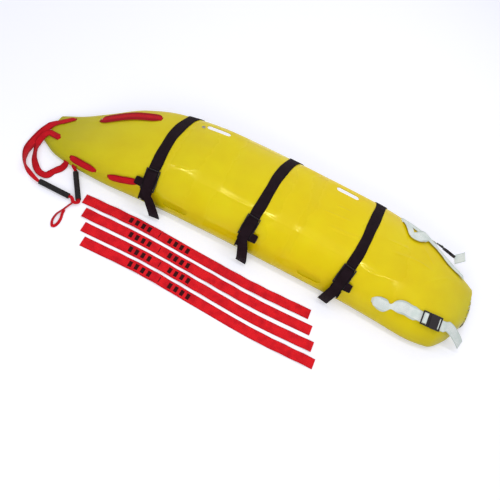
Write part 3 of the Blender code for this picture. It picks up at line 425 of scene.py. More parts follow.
def rolled_polyethylene():
    """Sheet finish: painted shade, darker and greener, towards the ends where the pod narrows and near the
    floor, with scuffs along the length.
    """
    surface = {"IOR": 1.54, "Specular IOR Level": 0.42, "Specular Tint": (1.0, 0.93, 0.34, 1.0)}
    depth = {"Subsurface Weight": 0.4, "Subsurface Radius": (0.012, 0.009, 0.001), "Subsurface Scale": 1.0}
    made, tree, shader, place = named_finish("rolled_polyethylene_yellow", surface | depth)
    parts = add(tree, "SeparateXYZ", [place]).outputs
    along = add(tree, "MapRange", [parts["X"], -HULL_LENGTH / 2, HULL_LENGTH / 2])
    # the yellow along the length, with painted shade towards both ends
    body = add(tree, "ValToRGB", [along], stops=YELLOW_WITH_END_SHADE)
    # painted shade near the floor: the colour turns a darker, duller green towards the bottom edge
    rise = add(tree, "MapRange", [parts["Z"], 0.0, 0.12])
    low = add(tree, "ValToRGB", [rise], stops=((0.0, "#8FA838"), (0.35, "#D8E070"), (1.0, "#FFFFFF")))
    blend = {"data_type": "RGBA", "blend_type": "MULTIPLY"}
    mixed = add(tree, "Mix", {0: FLOOR_SHADE_STRENGTH, 6: body, 7: low}, **blend).outputs[2]
    # clouding of the colour, about 120 mm across
    cloud = add(tree, "TexNoise", {"Vector": place, "Scale": 8.0, "Detail": 3.0})
    tint = add(tree, "ValToRGB", [cloud], stops=((0.3, "#F1E4C4"), (0.7, "#FFFFFF")))
    toned = add(tree, "Mix", {0: CLOUDED, 6: mixed, 7: tint}, **blend).outputs[2]
    # scuffs along the length, drawn 3 mm wide so that they show
    stretched = add(tree, "Mapping", {"Vector": place, "Scale": (6.0, 330.0, 330.0)})
    scuffs = add(tree, "TexNoise", {"Vector": stretched, "Scale": 1.0, "Detail": 4.0})
    gloss = add(tree, "MapRange", [scuffs, 0.35, 0.7, 0.09, 0.15])
    # handling has dulled the crest in stretches, which breaks its streak of light into dashes
    uneven = add(tree, "Math", [cloud, SHIFTED, along], operation="MULTIPLY_ADD")
    dull = add(tree, "ValToRGB", [uneven], stops=DULL_STRETCHES)
    rough = add(tree, "Math", [dull, DULLED, gloss], operation="MULTIPLY_ADD")
    # the rolled face is uneven over about 15 mm, with a finer haze over 2 mm
    wide = add(tree, "TexNoise", {"Vector": place, "Scale": 65.0, "Detail": 2.0})
    fine = add(tree, "TexNoise", {"Vector": place, "Scale": 500.0, "Detail": 2.0})
    both = add(tree, "Math", [fine, 0.15, wide], operation="MULTIPLY_ADD")
    normal = add(tree, "Bump", {"Height": both, "Strength": 0.12, "Distance": 0.0006})
    wire(shader, {"Base Color": toned, "Roughness": rough, "Normal": normal})
    return made


# a finish is a material and the part's slot that it belongs to
SHEET = rolled_polyethylene(), "moulded_polyethylene_yellow"
print("sheet", SHEET[0].name)

# %% [markdown]
# ## Pieces
#
# Every piece rides on one of the part's bodies and names the solids that it stands for. The sheet and the
# bands are grids of points, because a grid's faces follow from its size alone.


# %% A piece and its grid
def add_piece(name, mesh, finish, *nodes, body=ROOT):
    """Links a piece, and says what it rides on, takes its colour from and stands for."""
    look, slot_name = finish
    made = linked(name, mesh)
    mesh.materials.append(look)
    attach(made, body)
    if nodes:
        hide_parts(*nodes)
    return made


def grid_faces(rows, columns):
    """Quads over a grid of vertices."""
    index = np.arange(rows * columns).reshape(rows, columns)
    quads = np.stack((index[:-1, :-1], index[1:, :-1], index[1:, 1:], index[:-1, 1:]), -1)
    return quads.reshape(-1, 4)


def skin_mesh(name, places):
    """A mesh over a grid of places on the skin, with its faces outwards."""
    mesh = bpy.data.meshes.new(name)
    faces = grid_faces(*places.shape[:2])[:, ::-1]
    mesh.from_pydata(places.reshape(-1, 3).tolist(), [], faces.tolist())
    return mesh


def thicken(made, thickness):
    """Gives a skin its thickness, inwards."""
    solid = made.modifiers.new("thickness", "SOLIDIFY")
    solid.thickness = thickness
    solid.offset = -1


print("a grid of 3 by 4 points has", len(grid_faces(3, 4)), "faces")

# %% [markdown]
# ## Openings
#
# Hand-holds for the bearers and a narrow slot for each band are cut from the flat sheet. Here each opening
# is a block that stands square to the sheet, so that one Boolean can punch them all.

# %% Where the sheet is cut
HANDHOLDS = (-0.36, 0.305)
FAR_SLOT_Q, NEAR_SLOT_Q = 2.0, 8.25
HANDHOLD_SIZE = (0.115, 0.03)
WEBBING_SLOT = 0.013
SLOT_ROOM = 0.002
# a band's share of its width where it dives through its slot
GATHERED = 0.52
# a block's reach to either side of the skin
BLOCK_REACH = 0.012
# each band's two ends on the sheet, its width, and at how many of the ends it passes inside
LINES = {
    "far_handle": ((-0.858, 2.55), (-0.618, 2.52), 0.06, 2),
    "near_handle_front": ((-0.88, 7.45), (-0.752, 7.9), 0.032, 2),
    "near_handle_back": ((-0.686, 7.9), (-0.556, 7.35), 0.034, 2),
    "foot_strap_near": ((0.6, 7.25), (0.8, 6.25), 0.05, 1),
    "foot_strap_far": ((0.59, 1.15), (0.7, 1.05), 0.05, 1),
    "bridle_outer": ((-0.972, 2.0), (-1.026, 3.35), 0.03, 1),
    "bridle_inner": ((-0.978, 5.35), (-1.026, 5.5), 0.03, 1),
}


def steps_at(x, q):
    """How the form moves for a unit of length and for a unit of the section."""
    return [Vector(move / (2 * STEP)) for move in moves(x, q)]


def half_circle(radius, count=13, start=-math.pi / 2):
    """Points round half a circle, as places across and up."""
    angles = [start + math.pi * k / (count - 1) for k in range(count)]
    return [(math.cos(angle) * radius, math.sin(angle) * radius) for angle in angles]


def add_slot(bm, x, q, length, width, direction):
    """A slot-shaped block through the sheet, its long side along a direction."""
    normal = Vector(outward(x, q))
    long_side = (direction - normal * direction.dot(normal)).normalized()
    short_side = normal.cross(long_side)
    middle = Vector(skin(x, q))
    rings = []
    for depth in (-BLOCK_REACH, BLOCK_REACH):
        ring = []
        for end, start in ((1, -math.pi / 2), (-1, math.pi / 2)):
            for u, v in half_circle(width / 2, start=start):
                u += end * (length - width) / 2
                ring.append(bm.verts.new(middle + long_side * u + short_side * v + normal * depth))
        rings.append(ring)
    low, high = rings
    bm.faces.new(low[::-1])
    bm.faces.new(high)
    for k in range(len(low)):
        n = (k + 1) % len(low)
        bm.faces.new((low[k], low[n], high[n], high[k]))


def turned_out(bm, mesh):
    """Turns a closed mesh's faces outwards and writes it."""
    bmesh.ops.recalc_face_normals(bm, faces=bm.faces[:])
    bm.to_mesh(mesh)
    bm.free()
    return mesh


def slot_blocks():
    """Every opening's block in one mesh."""
    bm = bmesh.new()
    for (x0, q0), (x1, q1), width, ends in LINES.values():
        for x, q in ((x0, q0), (x1, q1))[:ends]:
            along, across = steps_at(x, q)
            speed = across.length
            run = Vector((x1 - x0, (q1 - q0) * speed)).normalized()
            direction = across * (run.x / speed) - along * run.y
            add_slot(bm, x, q, width * GATHERED + SLOT_ROOM, WEBBING_SLOT, direction)
    for x in HANDHOLDS:
        for q in (FAR_SLOT_Q, NEAR_SLOT_Q):
            add_slot(bm, x, q, *HANDHOLD_SIZE, steps_at(x, q)[0])
    return turned_out(bm, bpy.data.meshes.new("slot_blocks"))


print("openings", sum(line[3] for line in LINES.values()) + 2 * len(HANDHOLDS))

# %% [markdown]
# ## Building the sheet
#
# The grid has close rows on top, where the creases lie, and wide ones on the floor. Solidify adds the
# plastic's 3 mm, and the Boolean takes the blocks away.

# %% The sheet
LONG_STEP = 0.004
# stretches of the section with the spacing of their faces
FINENESS = ((0, 3, 0.005), (3, 6.6, 0.0025), (6.6, 11, 0.005), (11, 12, 0.05), (12, 18, 0.01))
# faces that meet at more than this look sharp, as a cut does
CUT_EDGE = math.radians(38)


def sheet_columns():
    """Positions round the section, spaced as FINENESS says."""
    values = []
    for a, b, step in FINENESS:
        count = max(round((metres_across(b) - metres_across(a)) / step), 1)
        values += list(np.linspace(a, b, count + 1)[:-1])
    return np.array(values + [FINENESS[-1][1]])


def build_sheet():
    """The pod: a grid over the form, thickened and cut."""
    rows = np.linspace(STATIONS[0], STATIONS[-1], round(HULL_LENGTH / LONG_STEP) + 1)
    x, q = np.meshgrid(rows, sheet_columns(), indexing="ij")
    made = add_piece("pod_sheet", skin_mesh("pod_sheet", skin(x, q)), SHEET, "hull_sheet")
    thicken(made, SHEET_THICK)
    blocks = linked("slot_blocks", slot_blocks())
    cut = made.modifiers.new("openings", "BOOLEAN")
    cut.object = blocks
    cut.solver = "EXACT"
    # the modifiers' result becomes the mesh itself
    bpy.context.view_layer.update()
    graph = bpy.context.evaluated_depsgraph_get()
    final = bpy.data.meshes.new_from_object(made.evaluated_get(graph), depsgraph=graph)
    made.modifiers.clear()
    made.data = final
    bpy.data.objects.remove(blocks)
    final.shade_smooth()
    final.set_sharp_from_angle(angle=CUT_EDGE)
    print("sheet faces", len(final.polygons), "box", [round(v, 3) for v in made.dimensions])


build_sheet()

# %% [markdown]
# ## Flaps
#
# Behind each near hand-hold hangs a small flap of the same sheet. It keeps snow out, gives way to fingers,
# and is why the opening looks yellow and not dark.

# %% Flaps behind the near hand-holds
FLAP_SIZE, FLAP_THICK = (0.16, 0.06), 0.0015
# how far a flap hangs clear of the sheet, and how much its lower side sags
FLAP_GAP, FLAP_SAG = 0.0012, 0.004
# the curve that rounds its corners: its power, and its reach past the sides
CORNER_POWER, CORNER_REACH = 8, 1.09


def hand_flap(name, x):
    """A flap with rounded corners that lies inside the sheet, centred on a hand-hold."""
    speed = steps_at(x, NEAR_SLOT_Q)[1].length
    u, v = np.meshgrid(np.linspace(-0.5, 0.5, 25), np.linspace(-0.5, 0.5, 13), indexing="ij")
    square = np.maximum(np.maximum(np.abs(u), np.abs(v)), 1e-6) * 2
    rounded = (np.abs(u) ** CORNER_POWER + np.abs(v) ** CORNER_POWER + 1e-12) ** (1 / CORNER_POWER)
    shrink = np.minimum(1, 0.5 * CORNER_REACH / rounded * square)
    px, pq = x + u * shrink * FLAP_SIZE[0], NEAR_SLOT_Q + v * shrink * FLAP_SIZE[1] / speed
    depth = SHEET_THICK + FLAP_GAP + FLAP_SAG * np.cos(np.pi * u) * (0.5 - v)
    mesh = skin_mesh(name, skin(px, pq) - outward(px, pq) * depth[..., None])
    mesh.shade_smooth()
    thicken(add_piece(name, mesh, SHEET), FLAP_THICK)


for k, x in enumerate(HANDHOLDS):
    hand_flap(f"hand_flap_{k + 1}", x)
print("flaps", len(HANDHOLDS))

# %% [markdown]
# ## Bands
#
# Each strap is a flat band: a grid of points with the direction of its upper side, later given a thickness.
# It is joined from stretches that lie on the sheet, turn round its free edge, pass a buckle or hang in the
# open. The joined rows are then spaced evenly, so that the weave keeps its scale.

# %% Rows of a band
BAND_WIDTH = 0.05
BAND_THICK = 0.0022
BAND_GAP = 0.0009
LAY = BAND_GAP + BAND_THICK / 2
SLACK = 0.0016
ACROSS = np.linspace(-0.5, 0.5, 9)


def on_sheet(path, width, square=False):
    """Rows on the skin from places along, across and above it; square ones keep to one place along."""
    x, q, lift = np.array(path, float).T
    dx = np.zeros_like(x) if square else np.gradient(x)
    speed = np.linalg.norm(moves(x, q)[1], axis=-1) / (2 * STEP)
    run = np.stack((dx, np.gradient(q) * speed))
    run = run / np.hypot(*run)
    side = ACROSS * np.broadcast_to(width, len(x))[:, None]
    px = x[:, None] - run[1][:, None] * side
    pq = q[:, None] + run[0][:, None] * side / speed[:, None]
    up = outward(px, pq)
    return np.concatenate((skin(px, pq) + up * lift[:, None, None], up), -1)


def flat_rows(centres, across, width, normal):
    """Rows about centres, straight across and facing along a normal."""
    width = np.broadcast_to(width, len(centres))[:, None, None]
    places = centres[:, None] + ACROSS[:, None] * width * across.reshape(-1, 1, 3)
    return np.concatenate((places, np.repeat(normal[:, None], len(ACROSS), 1)), -1)


def crosswise(centres, across, width, square=False):
    """Rows about centres, with the width in one direction; square ones turn square to the run."""
    centres, across = np.array(centres, float), unit(np.array(across, float))
    if square:
        run = unit(np.gradient(centres, axis=0))
        across = unit(across - run * (run @ across)[:, None])
    normal = unit(np.cross(across, np.gradient(centres, axis=0)))
    return flat_rows(centres, across, width, normal)


def free(stops, count=8):
    """Rows in the open from stops of place, width and turn about the band's own line in degrees."""
    data = np.array([(*place, width, turn) for place, width, turn in stops], float)
    padded = np.concatenate((data[:1] * 2 - data[1:2], data, data[-1:] * 2 - data[-2:-1]))
    out = []
    for k in range(len(data) - 1):
        a, b, c, d = padded[k : k + 4]
        for u in np.arange(count) / count:
            curve = b + (c - a) * u / 2 + (a * 2 - b * 5 + c * 4 - d) * u**2 / 2
            out.append(curve + (b * 3 - a - c * 3 + d) * u**3 / 2)
    data = np.array(out + [data[-1]])
    tangent = unit(np.gradient(data[:, :3], axis=0))
    level = unit(np.cross(tangent, (0, 0, 1)))
    turn = np.radians(data[:, 4:5])
    across = level * np.cos(turn) + np.cross(tangent, level) * np.sin(turn)
    return flat_rows(data[:, :3], across, data[:, 3], np.cross(across, tangent))


def even(rows, step):
    """Rows spaced evenly along a band, without overshoot between the given ones."""
    centre = rows[:, len(ACROSS) // 2, :3]
    t = np.concatenate(([0], np.cumsum(np.linalg.norm(np.diff(centre, axis=0), axis=1))))
    places = np.linspace(0, t[-1], max(round(t[-1] / step), 2) + 1)
    flat = rows.reshape(len(rows), -1)
    out = np.stack([monotone(t, flat[:, k])(places) for k in range(flat.shape[1])], -1)
    out = out.reshape(len(places), len(ACROSS), 6)
    out[..., 3:] = unit(out[..., 3:])
    return out, places


print("a band lies", round(LAY * 1000, 1), "mm above the sheet")

# %% [markdown]
# ## A band's mesh
#
# The mesh has a top, an underside and a rim. Its edges are a little thinner, and slow waves keep it from
# lying like sheet metal. The weave's coordinates are the band unrolled, in metres.

# %% A band's mesh
EDGE_SHARE = 0.72
RIM_EDGE = math.radians(50)


def hand_laid(middle, up, along, ruffle, sway):
    """A band's rows, lifted in ruffles and swayed to either side."""
    # each factor of the length is in radians for a metre, which makes waves 65 to 370 mm long
    wave = np.sin(along * 41 + 1) * np.sin(along * 17) + 0.4 * np.sin(along * 97 + 2)
    tilt = np.sin(along * 29)[:, None] * ACROSS * 1.6
    middle = middle + up * ruffle * (np.abs(wave)[:, None] + tilt + 0.8)[..., None]
    side = unit(middle[:, -1:] - middle[:, :1])
    return middle + side * sway * (np.sin(along * 23 + 0.7) + 0.5 * np.sin(along * 61))[:, None, None]


def band_faces(rows, columns):
    """Top, underside and rim, where the underside's vertices follow the top's."""
    count = rows * columns
    top = grid_faces(rows, columns)
    index = np.arange(count).reshape(rows, columns)
    rim = np.concatenate((index[:, 0], index[-1, 1:], index[-2::-1, -1], index[0, -2:0:-1]))
    after = np.roll(rim, -1)
    wall = np.stack((rim, after, after + count, rim + count), -1)
    return np.concatenate((top, top[:, ::-1] + count, wall[:, ::-1]))


def unroll(mesh, middle, along):
    """Weave coordinates: metres along the band, and across from its middle."""
    gaps = np.linalg.norm(np.diff(middle, axis=1), axis=-1)
    width = np.concatenate((np.zeros((len(along), 1)), gaps), 1)
    across = np.cumsum(width, axis=1) - width.sum(1)[:, None] / 2
    flat = np.stack(np.broadcast_arrays(along[:, None], across), -1).reshape(-1, 2)
    corners = np.zeros(len(mesh.loops), int)
    mesh.loops.foreach_get("vertex_index", corners)
    both = np.concatenate((flat, flat))
    mesh.uv_layers.new(name="weave").data.foreach_set("uv", both[corners].ravel())


def webbing(name, parts, finish, *nodes, body=ROOT, step=0.004, ruffle=0.0, sway=0.0):
    """A woven band through joined stretches."""
    rows, along = even(np.concatenate(parts), step)
    up = rows[..., 3:]
    middle = hand_laid(rows[..., :3], up, along, ruffle, sway)
    thick = np.where(np.abs(ACROSS) == 0.5, EDGE_SHARE, 1.0)[:, None] * BAND_THICK / 2
    places = np.concatenate(((middle + up * thick).reshape(-1, 3), (middle - up * thick).reshape(-1, 3)))
    mesh = bpy.data.meshes.new(name)
    mesh.from_pydata(places.tolist(), [], band_faces(len(along), len(ACROSS)).tolist())
    unroll(mesh, middle, along)
    bm = bmesh.new()
    bm.from_mesh(mesh)
    turned_out(bm, mesh).shade_smooth()
    mesh.set_sharp_from_angle(angle=RIM_EDGE)
    return add_piece(name, mesh, finish, *nodes, body=body)


print("a metre of band has", len(band_faces(251, len(ACROSS))), "faces")

# %% [markdown]
# ## Webbing
#
# Strap webbing is nylon woven in a close herringbone, with a rib across it every 2.2 mm and a tight
# selvedge along both edges. Its filaments scatter the light, so it is matt, with a faint sheen at grazing
# angles. The ribs come from the unrolled coordinates, so they follow every turn.

# %% Nylon webbing
RIB, YARN, SELVEDGE = 0.0022, 0.0028, 0.0045
NARROW = 0.03
INK = "#3A0A0E"
# the printed marks' middle along the strap, and from it the first block, the pitch and the gap's share
MARK_MIDDLE, MARK_START, MARK_PITCH, MARK_GAP = 0.37, 0.04, 0.03, 0.45
MARK_BLOCKS = 4
BAR_HALF, MARK_HALF_WIDTH = 0.0018, 0.014


def fold_marks(tree, flat):
    """Printed marks where the carry straps fold: a bar across, and a row of blocks on either side."""
    from_middle = add(tree, "Math", [flat[0], MARK_MIDDLE], operation="SUBTRACT")
    off = add(tree, "Math", [from_middle], operation="ABSOLUTE")
    phase = add(tree, "Math", [off, MARK_PITCH], operation="MODULO")
    row = add(tree, "Math", [phase, MARK_PITCH * MARK_GAP], operation="GREATER_THAN")
    ends = (MARK_START, "GREATER_THAN"), (MARK_START + MARK_BLOCKS * MARK_PITCH, "LESS_THAN")
    for place, test in ends:
        inside = add(tree, "Math", [off, place], operation=test)
        row = add(tree, "Math", [row, inside], operation="MULTIPLY")
    bar = add(tree, "Math", [off, BAR_HALF], operation="LESS_THAN")
    both = add(tree, "Math", [row, bar], operation="MAXIMUM")
    side = add(tree, "Math", [flat[1]], operation="ABSOLUTE")
    low = add(tree, "Math", [side, MARK_HALF_WIDTH], operation="LESS_THAN")
    return add(tree, "Math", [both, low], operation="MULTIPLY")


def woven_nylon(name, base, dark, pale, worn, width=BAND_WIDTH, sheen=0.06, marks=None):
    """Webbing of one colour: ribs and yarns, with painted shade in the rib valleys and a painted highlight
    on the rib tops, and a selvedge along both edges.
    """
    fibre = {"Roughness": 0.85, "IOR": 1.53, "Specular IOR Level": 0.12}
    fibre |= {"Sheen Weight": sheen, "Sheen Roughness": 0.5}
    made, tree, shader, place = named_finish(name, fibre)
    flat = add(tree, "SeparateXYZ", [add(tree, "UVMap", uv_map="weave")]).outputs
    long_way = add(tree, "Math", [flat[0], 2 * math.pi / RIB], operation="MULTIPLY")
    cross_way = add(tree, "Math", [flat[1], 2 * math.pi / YARN], operation="MULTIPLY")
    # the rib leans one way and then the other, as herringbone does
    lean = add(tree, "Math", [cross_way], operation="SINE")
    bent = add(tree, "Math", [lean, 0.9, long_way], operation="MULTIPLY_ADD")
    rib = add(tree, "Math", [bent], operation="SINE")
    away = add(tree, "Math", [flat[1]], operation="ABSOLUTE")
    edge = add(tree, "MapRange", [away, width / 2 - SELVEDGE, width / 2 - SELVEDGE / 2])
    height = add(tree, "MapRange", [rib, -1.0, 1.0])
    # painted shade in the rib valleys and a painted highlight on the rib tops
    rib_shading = add(tree, "ValToRGB", [height], stops=((0.0, dark), (0.55, base), (1.0, pale)))
    # wear and dye vary over about 40 mm
    cloud = add(tree, "TexNoise", {"Vector": place, "Scale": 25.0, "Detail": 4.0})
    patch = add(tree, "MapRange", {0: cloud, 1: 0.42, 2: 0.68, 4: 0.8})
    layers = [(patch, worn), (edge, dark)] + ([(marks(tree, flat), INK)] if marks else [])
    tone = rib_shading
    for share, code in layers:
        tone = add(tree, "Mix", {0: share, 6: tone, 7: linear(code)}, data_type="RGBA").outputs[2]
    rim = add(tree, "Math", [edge, 0.6], operation="MULTIPLY")
    raised = add(tree, "Math", [height, rim])
    normal = add(tree, "Bump", {"Height": raised, "Strength": 0.55, "Distance": 0.0005})
    wire(shader, {"Base Color": tone, "Normal": normal})
    print("finish", name)
    return made


# colours: the yarn, a darker one for the painted shade in the rib valleys and for the selvedge, a paler one
# for the painted highlight on the rib tops, and the worn patches
black = woven_nylon("woven_nylon_black", "#160A11", "#0C0508", "#241219", "#20131A", sheen=0.02)
white = woven_nylon("woven_nylon_white", "#EDF3EE", "#C9D3CB", "#FAFCF8", "#D3DFD8")
narrow = woven_nylon("woven_nylon_red_narrow", "#D2101F", "#A20A17", "#E41E2A", "#B50E1F", NARROW)
marked = woven_nylon("woven_nylon_red_marked", "#EE1722", "#C20E1A", "#FA2A33", "#BE1020", marks=fold_marks)
BLACK, WHITE = (black, "black_nylon_webbing"), (white, "white_nylon_webbing")
RED_NARROW, RED_MARKED = (narrow, "red_nylon_webbing"), (marked, "red_nylon_webbing")

# %% [markdown]
# ## Buckles in their places
#
# A side-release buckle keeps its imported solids, so the bands have to meet them. Its two prongs turn about
# known axes, which give its directions: one axis lies on either side of the middle, and both are square to
# its face.

# %% Frames of the buckles
# how far up the strap the prongs' axes lie from the buckle's mouth
PRONG_AXIS = -0.0034
JOINTS = {joint["name"]: joint for joint in frame["joints"]}


def buckle_axes(kind):
    """The buckle's mouth, the direction up the strap, across it and out of its face."""
    first, second = (Vector(JOINTS[f"{kind}_squeeze_{k}"]["pos_m"]) for k in "ab")
    normal = Vector(JOINTS[f"{kind}_squeeze_a"]["axis"]).normalized()
    across = (first - second).normalized()
    along = across.cross(normal)
    return (first + second) / 2 - along * PRONG_AXIS, along, across, normal


def by_buckle(kind, stops, width, flip=1):
    """Rows past a buckle, from places along it and out of its face."""
    mouth, along, across, normal = buckle_axes(kind)
    return crosswise([mouth + along * u + normal * n for u, n in stops], across * flip, width)


print("buckles", [name[: -len("_squeeze_a")] for name in JOINTS if name.endswith("squeeze_a")])

# %% [markdown]
# ## Cross straps
#
# Three black straps close the pod. Each is riveted to the far wall, comes out round the free edge, crosses
# the top, passes the plug's bar and lies back over the buckle, and its tail hangs to the floor. A short
# partner holds the socket to the near side.

# %% Cross straps
BUCKLE_Q, FAR_ANCHOR_Q, FAR_LEAVE_Q, NEAR_ANCHOR_Q = 6.62, 14.2, 15.1, 9.1
BODY_LENGTH, BODY_HEIGHT, TONGUE_HEIGHT = 0.058, 0.013, 0.0065
PASS_START, PASS_LENGTH, BAR_WIDTH = 0.022, 0.014, 0.005
# a band's height over the body, on either side of the plug's bar and round the socket's bar
OVER_BODY = BODY_HEIGHT / 2 + BAND_THICK / 2 + 0.0006
PLUG_CLEAR = TONGUE_HEIGHT / 2 + BAND_THICK / 2 + 0.0016
WRAP = 0.005
# how much the band spreads round the free edge, and just past it
EDGE_FLARE, TOP_FLARE = 1.25, 0.28
# place along at the far edge, in the middle and at the buckle, and where the tail ends
STRAPS = {
    "chest": (-0.48, -0.524, -0.508, -0.43, -0.318),
    "hip": (0.033, -0.022, -0.03, 0.005, -0.315),
    "leg": (0.478, 0.461, 0.44, 0.411, -0.3),
}


def round_edge(x, width, count=9):
    """Rows round the sheet's free edge, from behind it to the top side."""
    across = x - ACROSS * width
    normal = outward(across, 0.0)
    out = -unit(moves(across, 0.0)[1])
    edge = skin(across, 0.0) - normal * SHEET_THICK / 2
    wall = skin(across, FAR_LEAVE_Q) + outward(across, FAR_LEAVE_Q) * LAY
    away = wall - edge
    last = np.arctan2(-(away * normal).sum(-1), (away * out).sum(-1))
    angle = last * (1 - np.arange(count)[:, None] / (count - 1))
    facing = normal * np.cos(angle)[..., None] + out * np.sin(angle)[..., None]
    return np.concatenate((edge + facing * (SHEET_THICK / 2 + LAY), facing), -1)


def over_buckle():
    """Places of a band that comes up through the plug and lies back over the buckle."""
    below = [(0.046, -PLUG_CLEAR), (PASS_START + PASS_LENGTH + 0.001, -PLUG_CLEAR)]
    above = [(PASS_START - 0.001, PLUG_CLEAR), (0.009, OVER_BODY)]
    body = [(-0.01 * k, OVER_BODY + 0.0006 * math.sin(k)) for k in range(6)]
    return [*below, *above, *body, (-BODY_LENGTH, OVER_BODY + 0.001)]


def tail(start, x, y):
    """Places of a tail that falls from the buckle to the floor and bows out on its way."""
    low = Vector((x, y, BAND_THICK + 0.001))
    hang = []
    for k in range(13):
        t = k / 12
        x = start.x + (low.x - start.x) * (1 - (1 - t) ** 1.7)
        y = start.y + (low.y - start.y) * (1 - (1 - t) ** 1.5) - 0.012 * math.sin(math.pi * t)
        hang.append(Vector((x, y, start.z + (low.z - start.z) * t**1.35)))
    return hang


def cross_strap(kind):
    """The black band from the far wall over the top and the buckle to the floor."""
    far, middle, near, tail_x, tail_y = STRAPS[kind]
    line = monotone([0.0, 4.2, BUCKLE_Q], [far, middle, near])
    hidden = on_sheet([(far, FAR_ANCHOR_Q + 0.1 * k, LAY) for k in range(9)], BAND_WIDTH)
    top = np.linspace(0.25, BUCKLE_Q - 0.78, 60)
    width = BAND_WIDTH * (1 + TOP_FLARE * np.exp(-((top / 0.9) ** 2)) + 0.05 * np.sin(top * 2.6))
    over = on_sheet(np.stack((line(top), top, top * 0 + LAY), -1), width, square=True)
    # the band spreads a little where it lies on the buckle
    stops = over_buckle()
    spread = np.interp(np.arange(len(stops)), (1, 4, 8), (1, 1.17, 1.03))
    past = by_buckle(kind, stops, BAND_WIDTH * spread)
    mouth, along, across, normal = buckle_axes(kind)
    hang = tail(mouth + along * (-BODY_LENGTH - 0.012) + normal * OVER_BODY, tail_x, tail_y)
    edge = round_edge(far, BAND_WIDTH * EDGE_FLARE)
    parts = [hidden, edge, over, past, crosswise(hang, across, BAND_WIDTH)]
    webbing(f"{kind}_webbing", parts, BLACK, f"{kind}_strap", ruffle=0.0003, sway=0.0009)


def bar_wrap(below):
    """Places of a band that comes up to the socket's bar, goes round it and ends on top."""
    stops = [(-BODY_LENGTH - 0.018, below), (-BODY_LENGTH - 0.006, (below - WRAP) / 2)]
    stops += [(-BODY_LENGTH + BAR_WIDTH / 2 + u, v) for u, v in half_circle(WRAP)]
    return stops + [(-BODY_LENGTH - 0.006, WRAP - 0.0006), (-BODY_LENGTH - 0.016, WRAP - 0.001)]


def anchor_strap(kind):
    """The short band that holds the socket to the near side."""
    near = STRAPS[kind][2]
    lying = on_sheet([(near, q, LAY) for q in np.linspace(NEAR_ANCHOR_Q, BUCKLE_Q + 1.55, 14)], BAND_WIDTH)
    wrapped = by_buckle(kind, bar_wrap(-BODY_HEIGHT / 2 - 0.003), BAND_WIDTH, flip=-1)
    webbing(f"{kind}_anchor_webbing", [lying, wrapped], BLACK, f"{kind}_anchor")


# which side the folded end sticks out on, how far from the mouth, and its length
STUBS = {"chest": (-1, -0.034, 0.036), "hip": (1, -0.048, 0.03), "leg": (1, -0.048, 0.03)}


def folded_end(kind):
    """A strap's spare end, folded on itself and sticking out sideways under the buckle."""
    side, place, reach = STUBS[kind]
    mouth, along, across, normal = buckle_axes(kind)
    out = Vector((side, 0, 0))
    out = (out - normal * out.dot(normal)).normalized()
    low = -BODY_HEIGHT / 2 - 0.001
    stops = [(0.008, low), (0.026, low + 0.002)]
    stops += [(0.022 + reach + u, low + 0.009 + v) for u, v in half_circle(0.006, 9)]
    stops += [(0.03, low + 0.014), (0.026, low + 0.0115)]
    width = 0.04 - 0.008 * np.sin(np.linspace(0, math.pi, len(stops)))
    start = mouth + along * place
    rows = crosswise([start + out * u + normal * n for u, n in stops], normal.cross(out), width)
    webbing(f"{kind}_folded_end", [rows], BLACK, step=0.002)


for kind in STRAPS:
    cross_strap(kind)
    anchor_strap(kind)
    folded_end(kind)
print("cross straps", len(STRAPS))

# %% [markdown]
# ## Handles
#
# At the head end three short bands pass through slots, so that both ends lie inside. A band bows up a
# little between its slots to leave room for fingers.

# %% Handles
# how far the band dives at a slot, lies inside and narrows
DIVE, TAB, NECK = 0.006, 0.03, 0.028
TAB_GAP, PATH_STEP = 0.0006, 0.005
# height above the skin: outside, inside, and where the tab lies against the sheet
OVER = LAY + SLACK
UNDER = -(SHEET_THICK + LAY + SLACK)
SEATED = -(SHEET_THICK + BAND_THICK / 2 + TAB_GAP)
HANDLES = {"far_handle": "far", "near_handle_front": "front", "near_handle_back": "back"}


def threaded(name, both=True, bow=0.0):
    """Path of a band between its two places on the sheet, going inside through its slots."""
    (x0, q0), (x1, q1), _, _ = LINES[name]
    speed = steps_at((x0 + x1) / 2, (q0 + q1) / 2)[1].length
    length = math.hypot(x1 - x0, (q1 - q0) * speed)
    knots = [-TAB, -2 * DIVE, -DIVE, DIVE, 2 * DIVE]
    lifts = [SEATED, UNDER, UNDER, OVER, OVER]
    knots += [length - k for k in knots[::-1]] if both else [length]
    lifts += lifts[::-1] if both else [OVER]
    d = np.arange(-TAB, (length + TAB if both else length) + PATH_STEP / 2, PATH_STEP)
    share = d / length
    arch = np.clip(np.sin(np.pi * np.clip(share, 0, 1)), 0, 1) ** 1.5
    lift = monotone(knots, lifts)(d) + bow * arch
    return np.stack((x0 + (x1 - x0) * share, q0 + (q1 - q0) * share, lift), -1)


def gather(path, both=True):
    """Width of a threaded band as a share, less at its slots."""
    d = np.arange(len(path)) * PATH_STEP - TAB
    share = np.ones(len(path))
    for off in (d, d[-1] - TAB - d) if both else (d,):
        share = share * (GATHERED + (1 - GATHERED) * np.clip(off / NECK, 0, 1) ** 0.5)
    return share


for node, name in HANDLES.items():
    path = threaded(node, bow=0.003)
    rows = on_sheet(path, LINES[node][2] * gather(path))
    webbing(f"{name}_handle_webbing", [rows], RED_NARROW, node, ruffle=0.0002)
print("handles", len(HANDLES))

# %% [markdown]
# ## Haul bridle
#
# One narrow red band leaves the nose, lies down on the floor, twists onto its edge, passes through two
# rubber grips and comes back to the near side. A second makes the inner loop, and a thin tow loop hangs
# from the bend between the grips.

# %% Haul bridle
BRIDLE_WIDTH, BRIDLE_NECK, TOW_WIDTH = 0.03, 0.016, 0.013
# the grips' length and height, and each one's start on the floor and direction
GRIP_LENGTH, GRIP_Z = 0.145, 0.0129
GRIPS = (((-0.938, -0.428), (1.0, 0.006)), ((-0.751, -0.4215), (-0.567, 0.824)))
BEND = ((-0.762, -0.443, GRIP_Z), BRIDLE_NECK, 0)
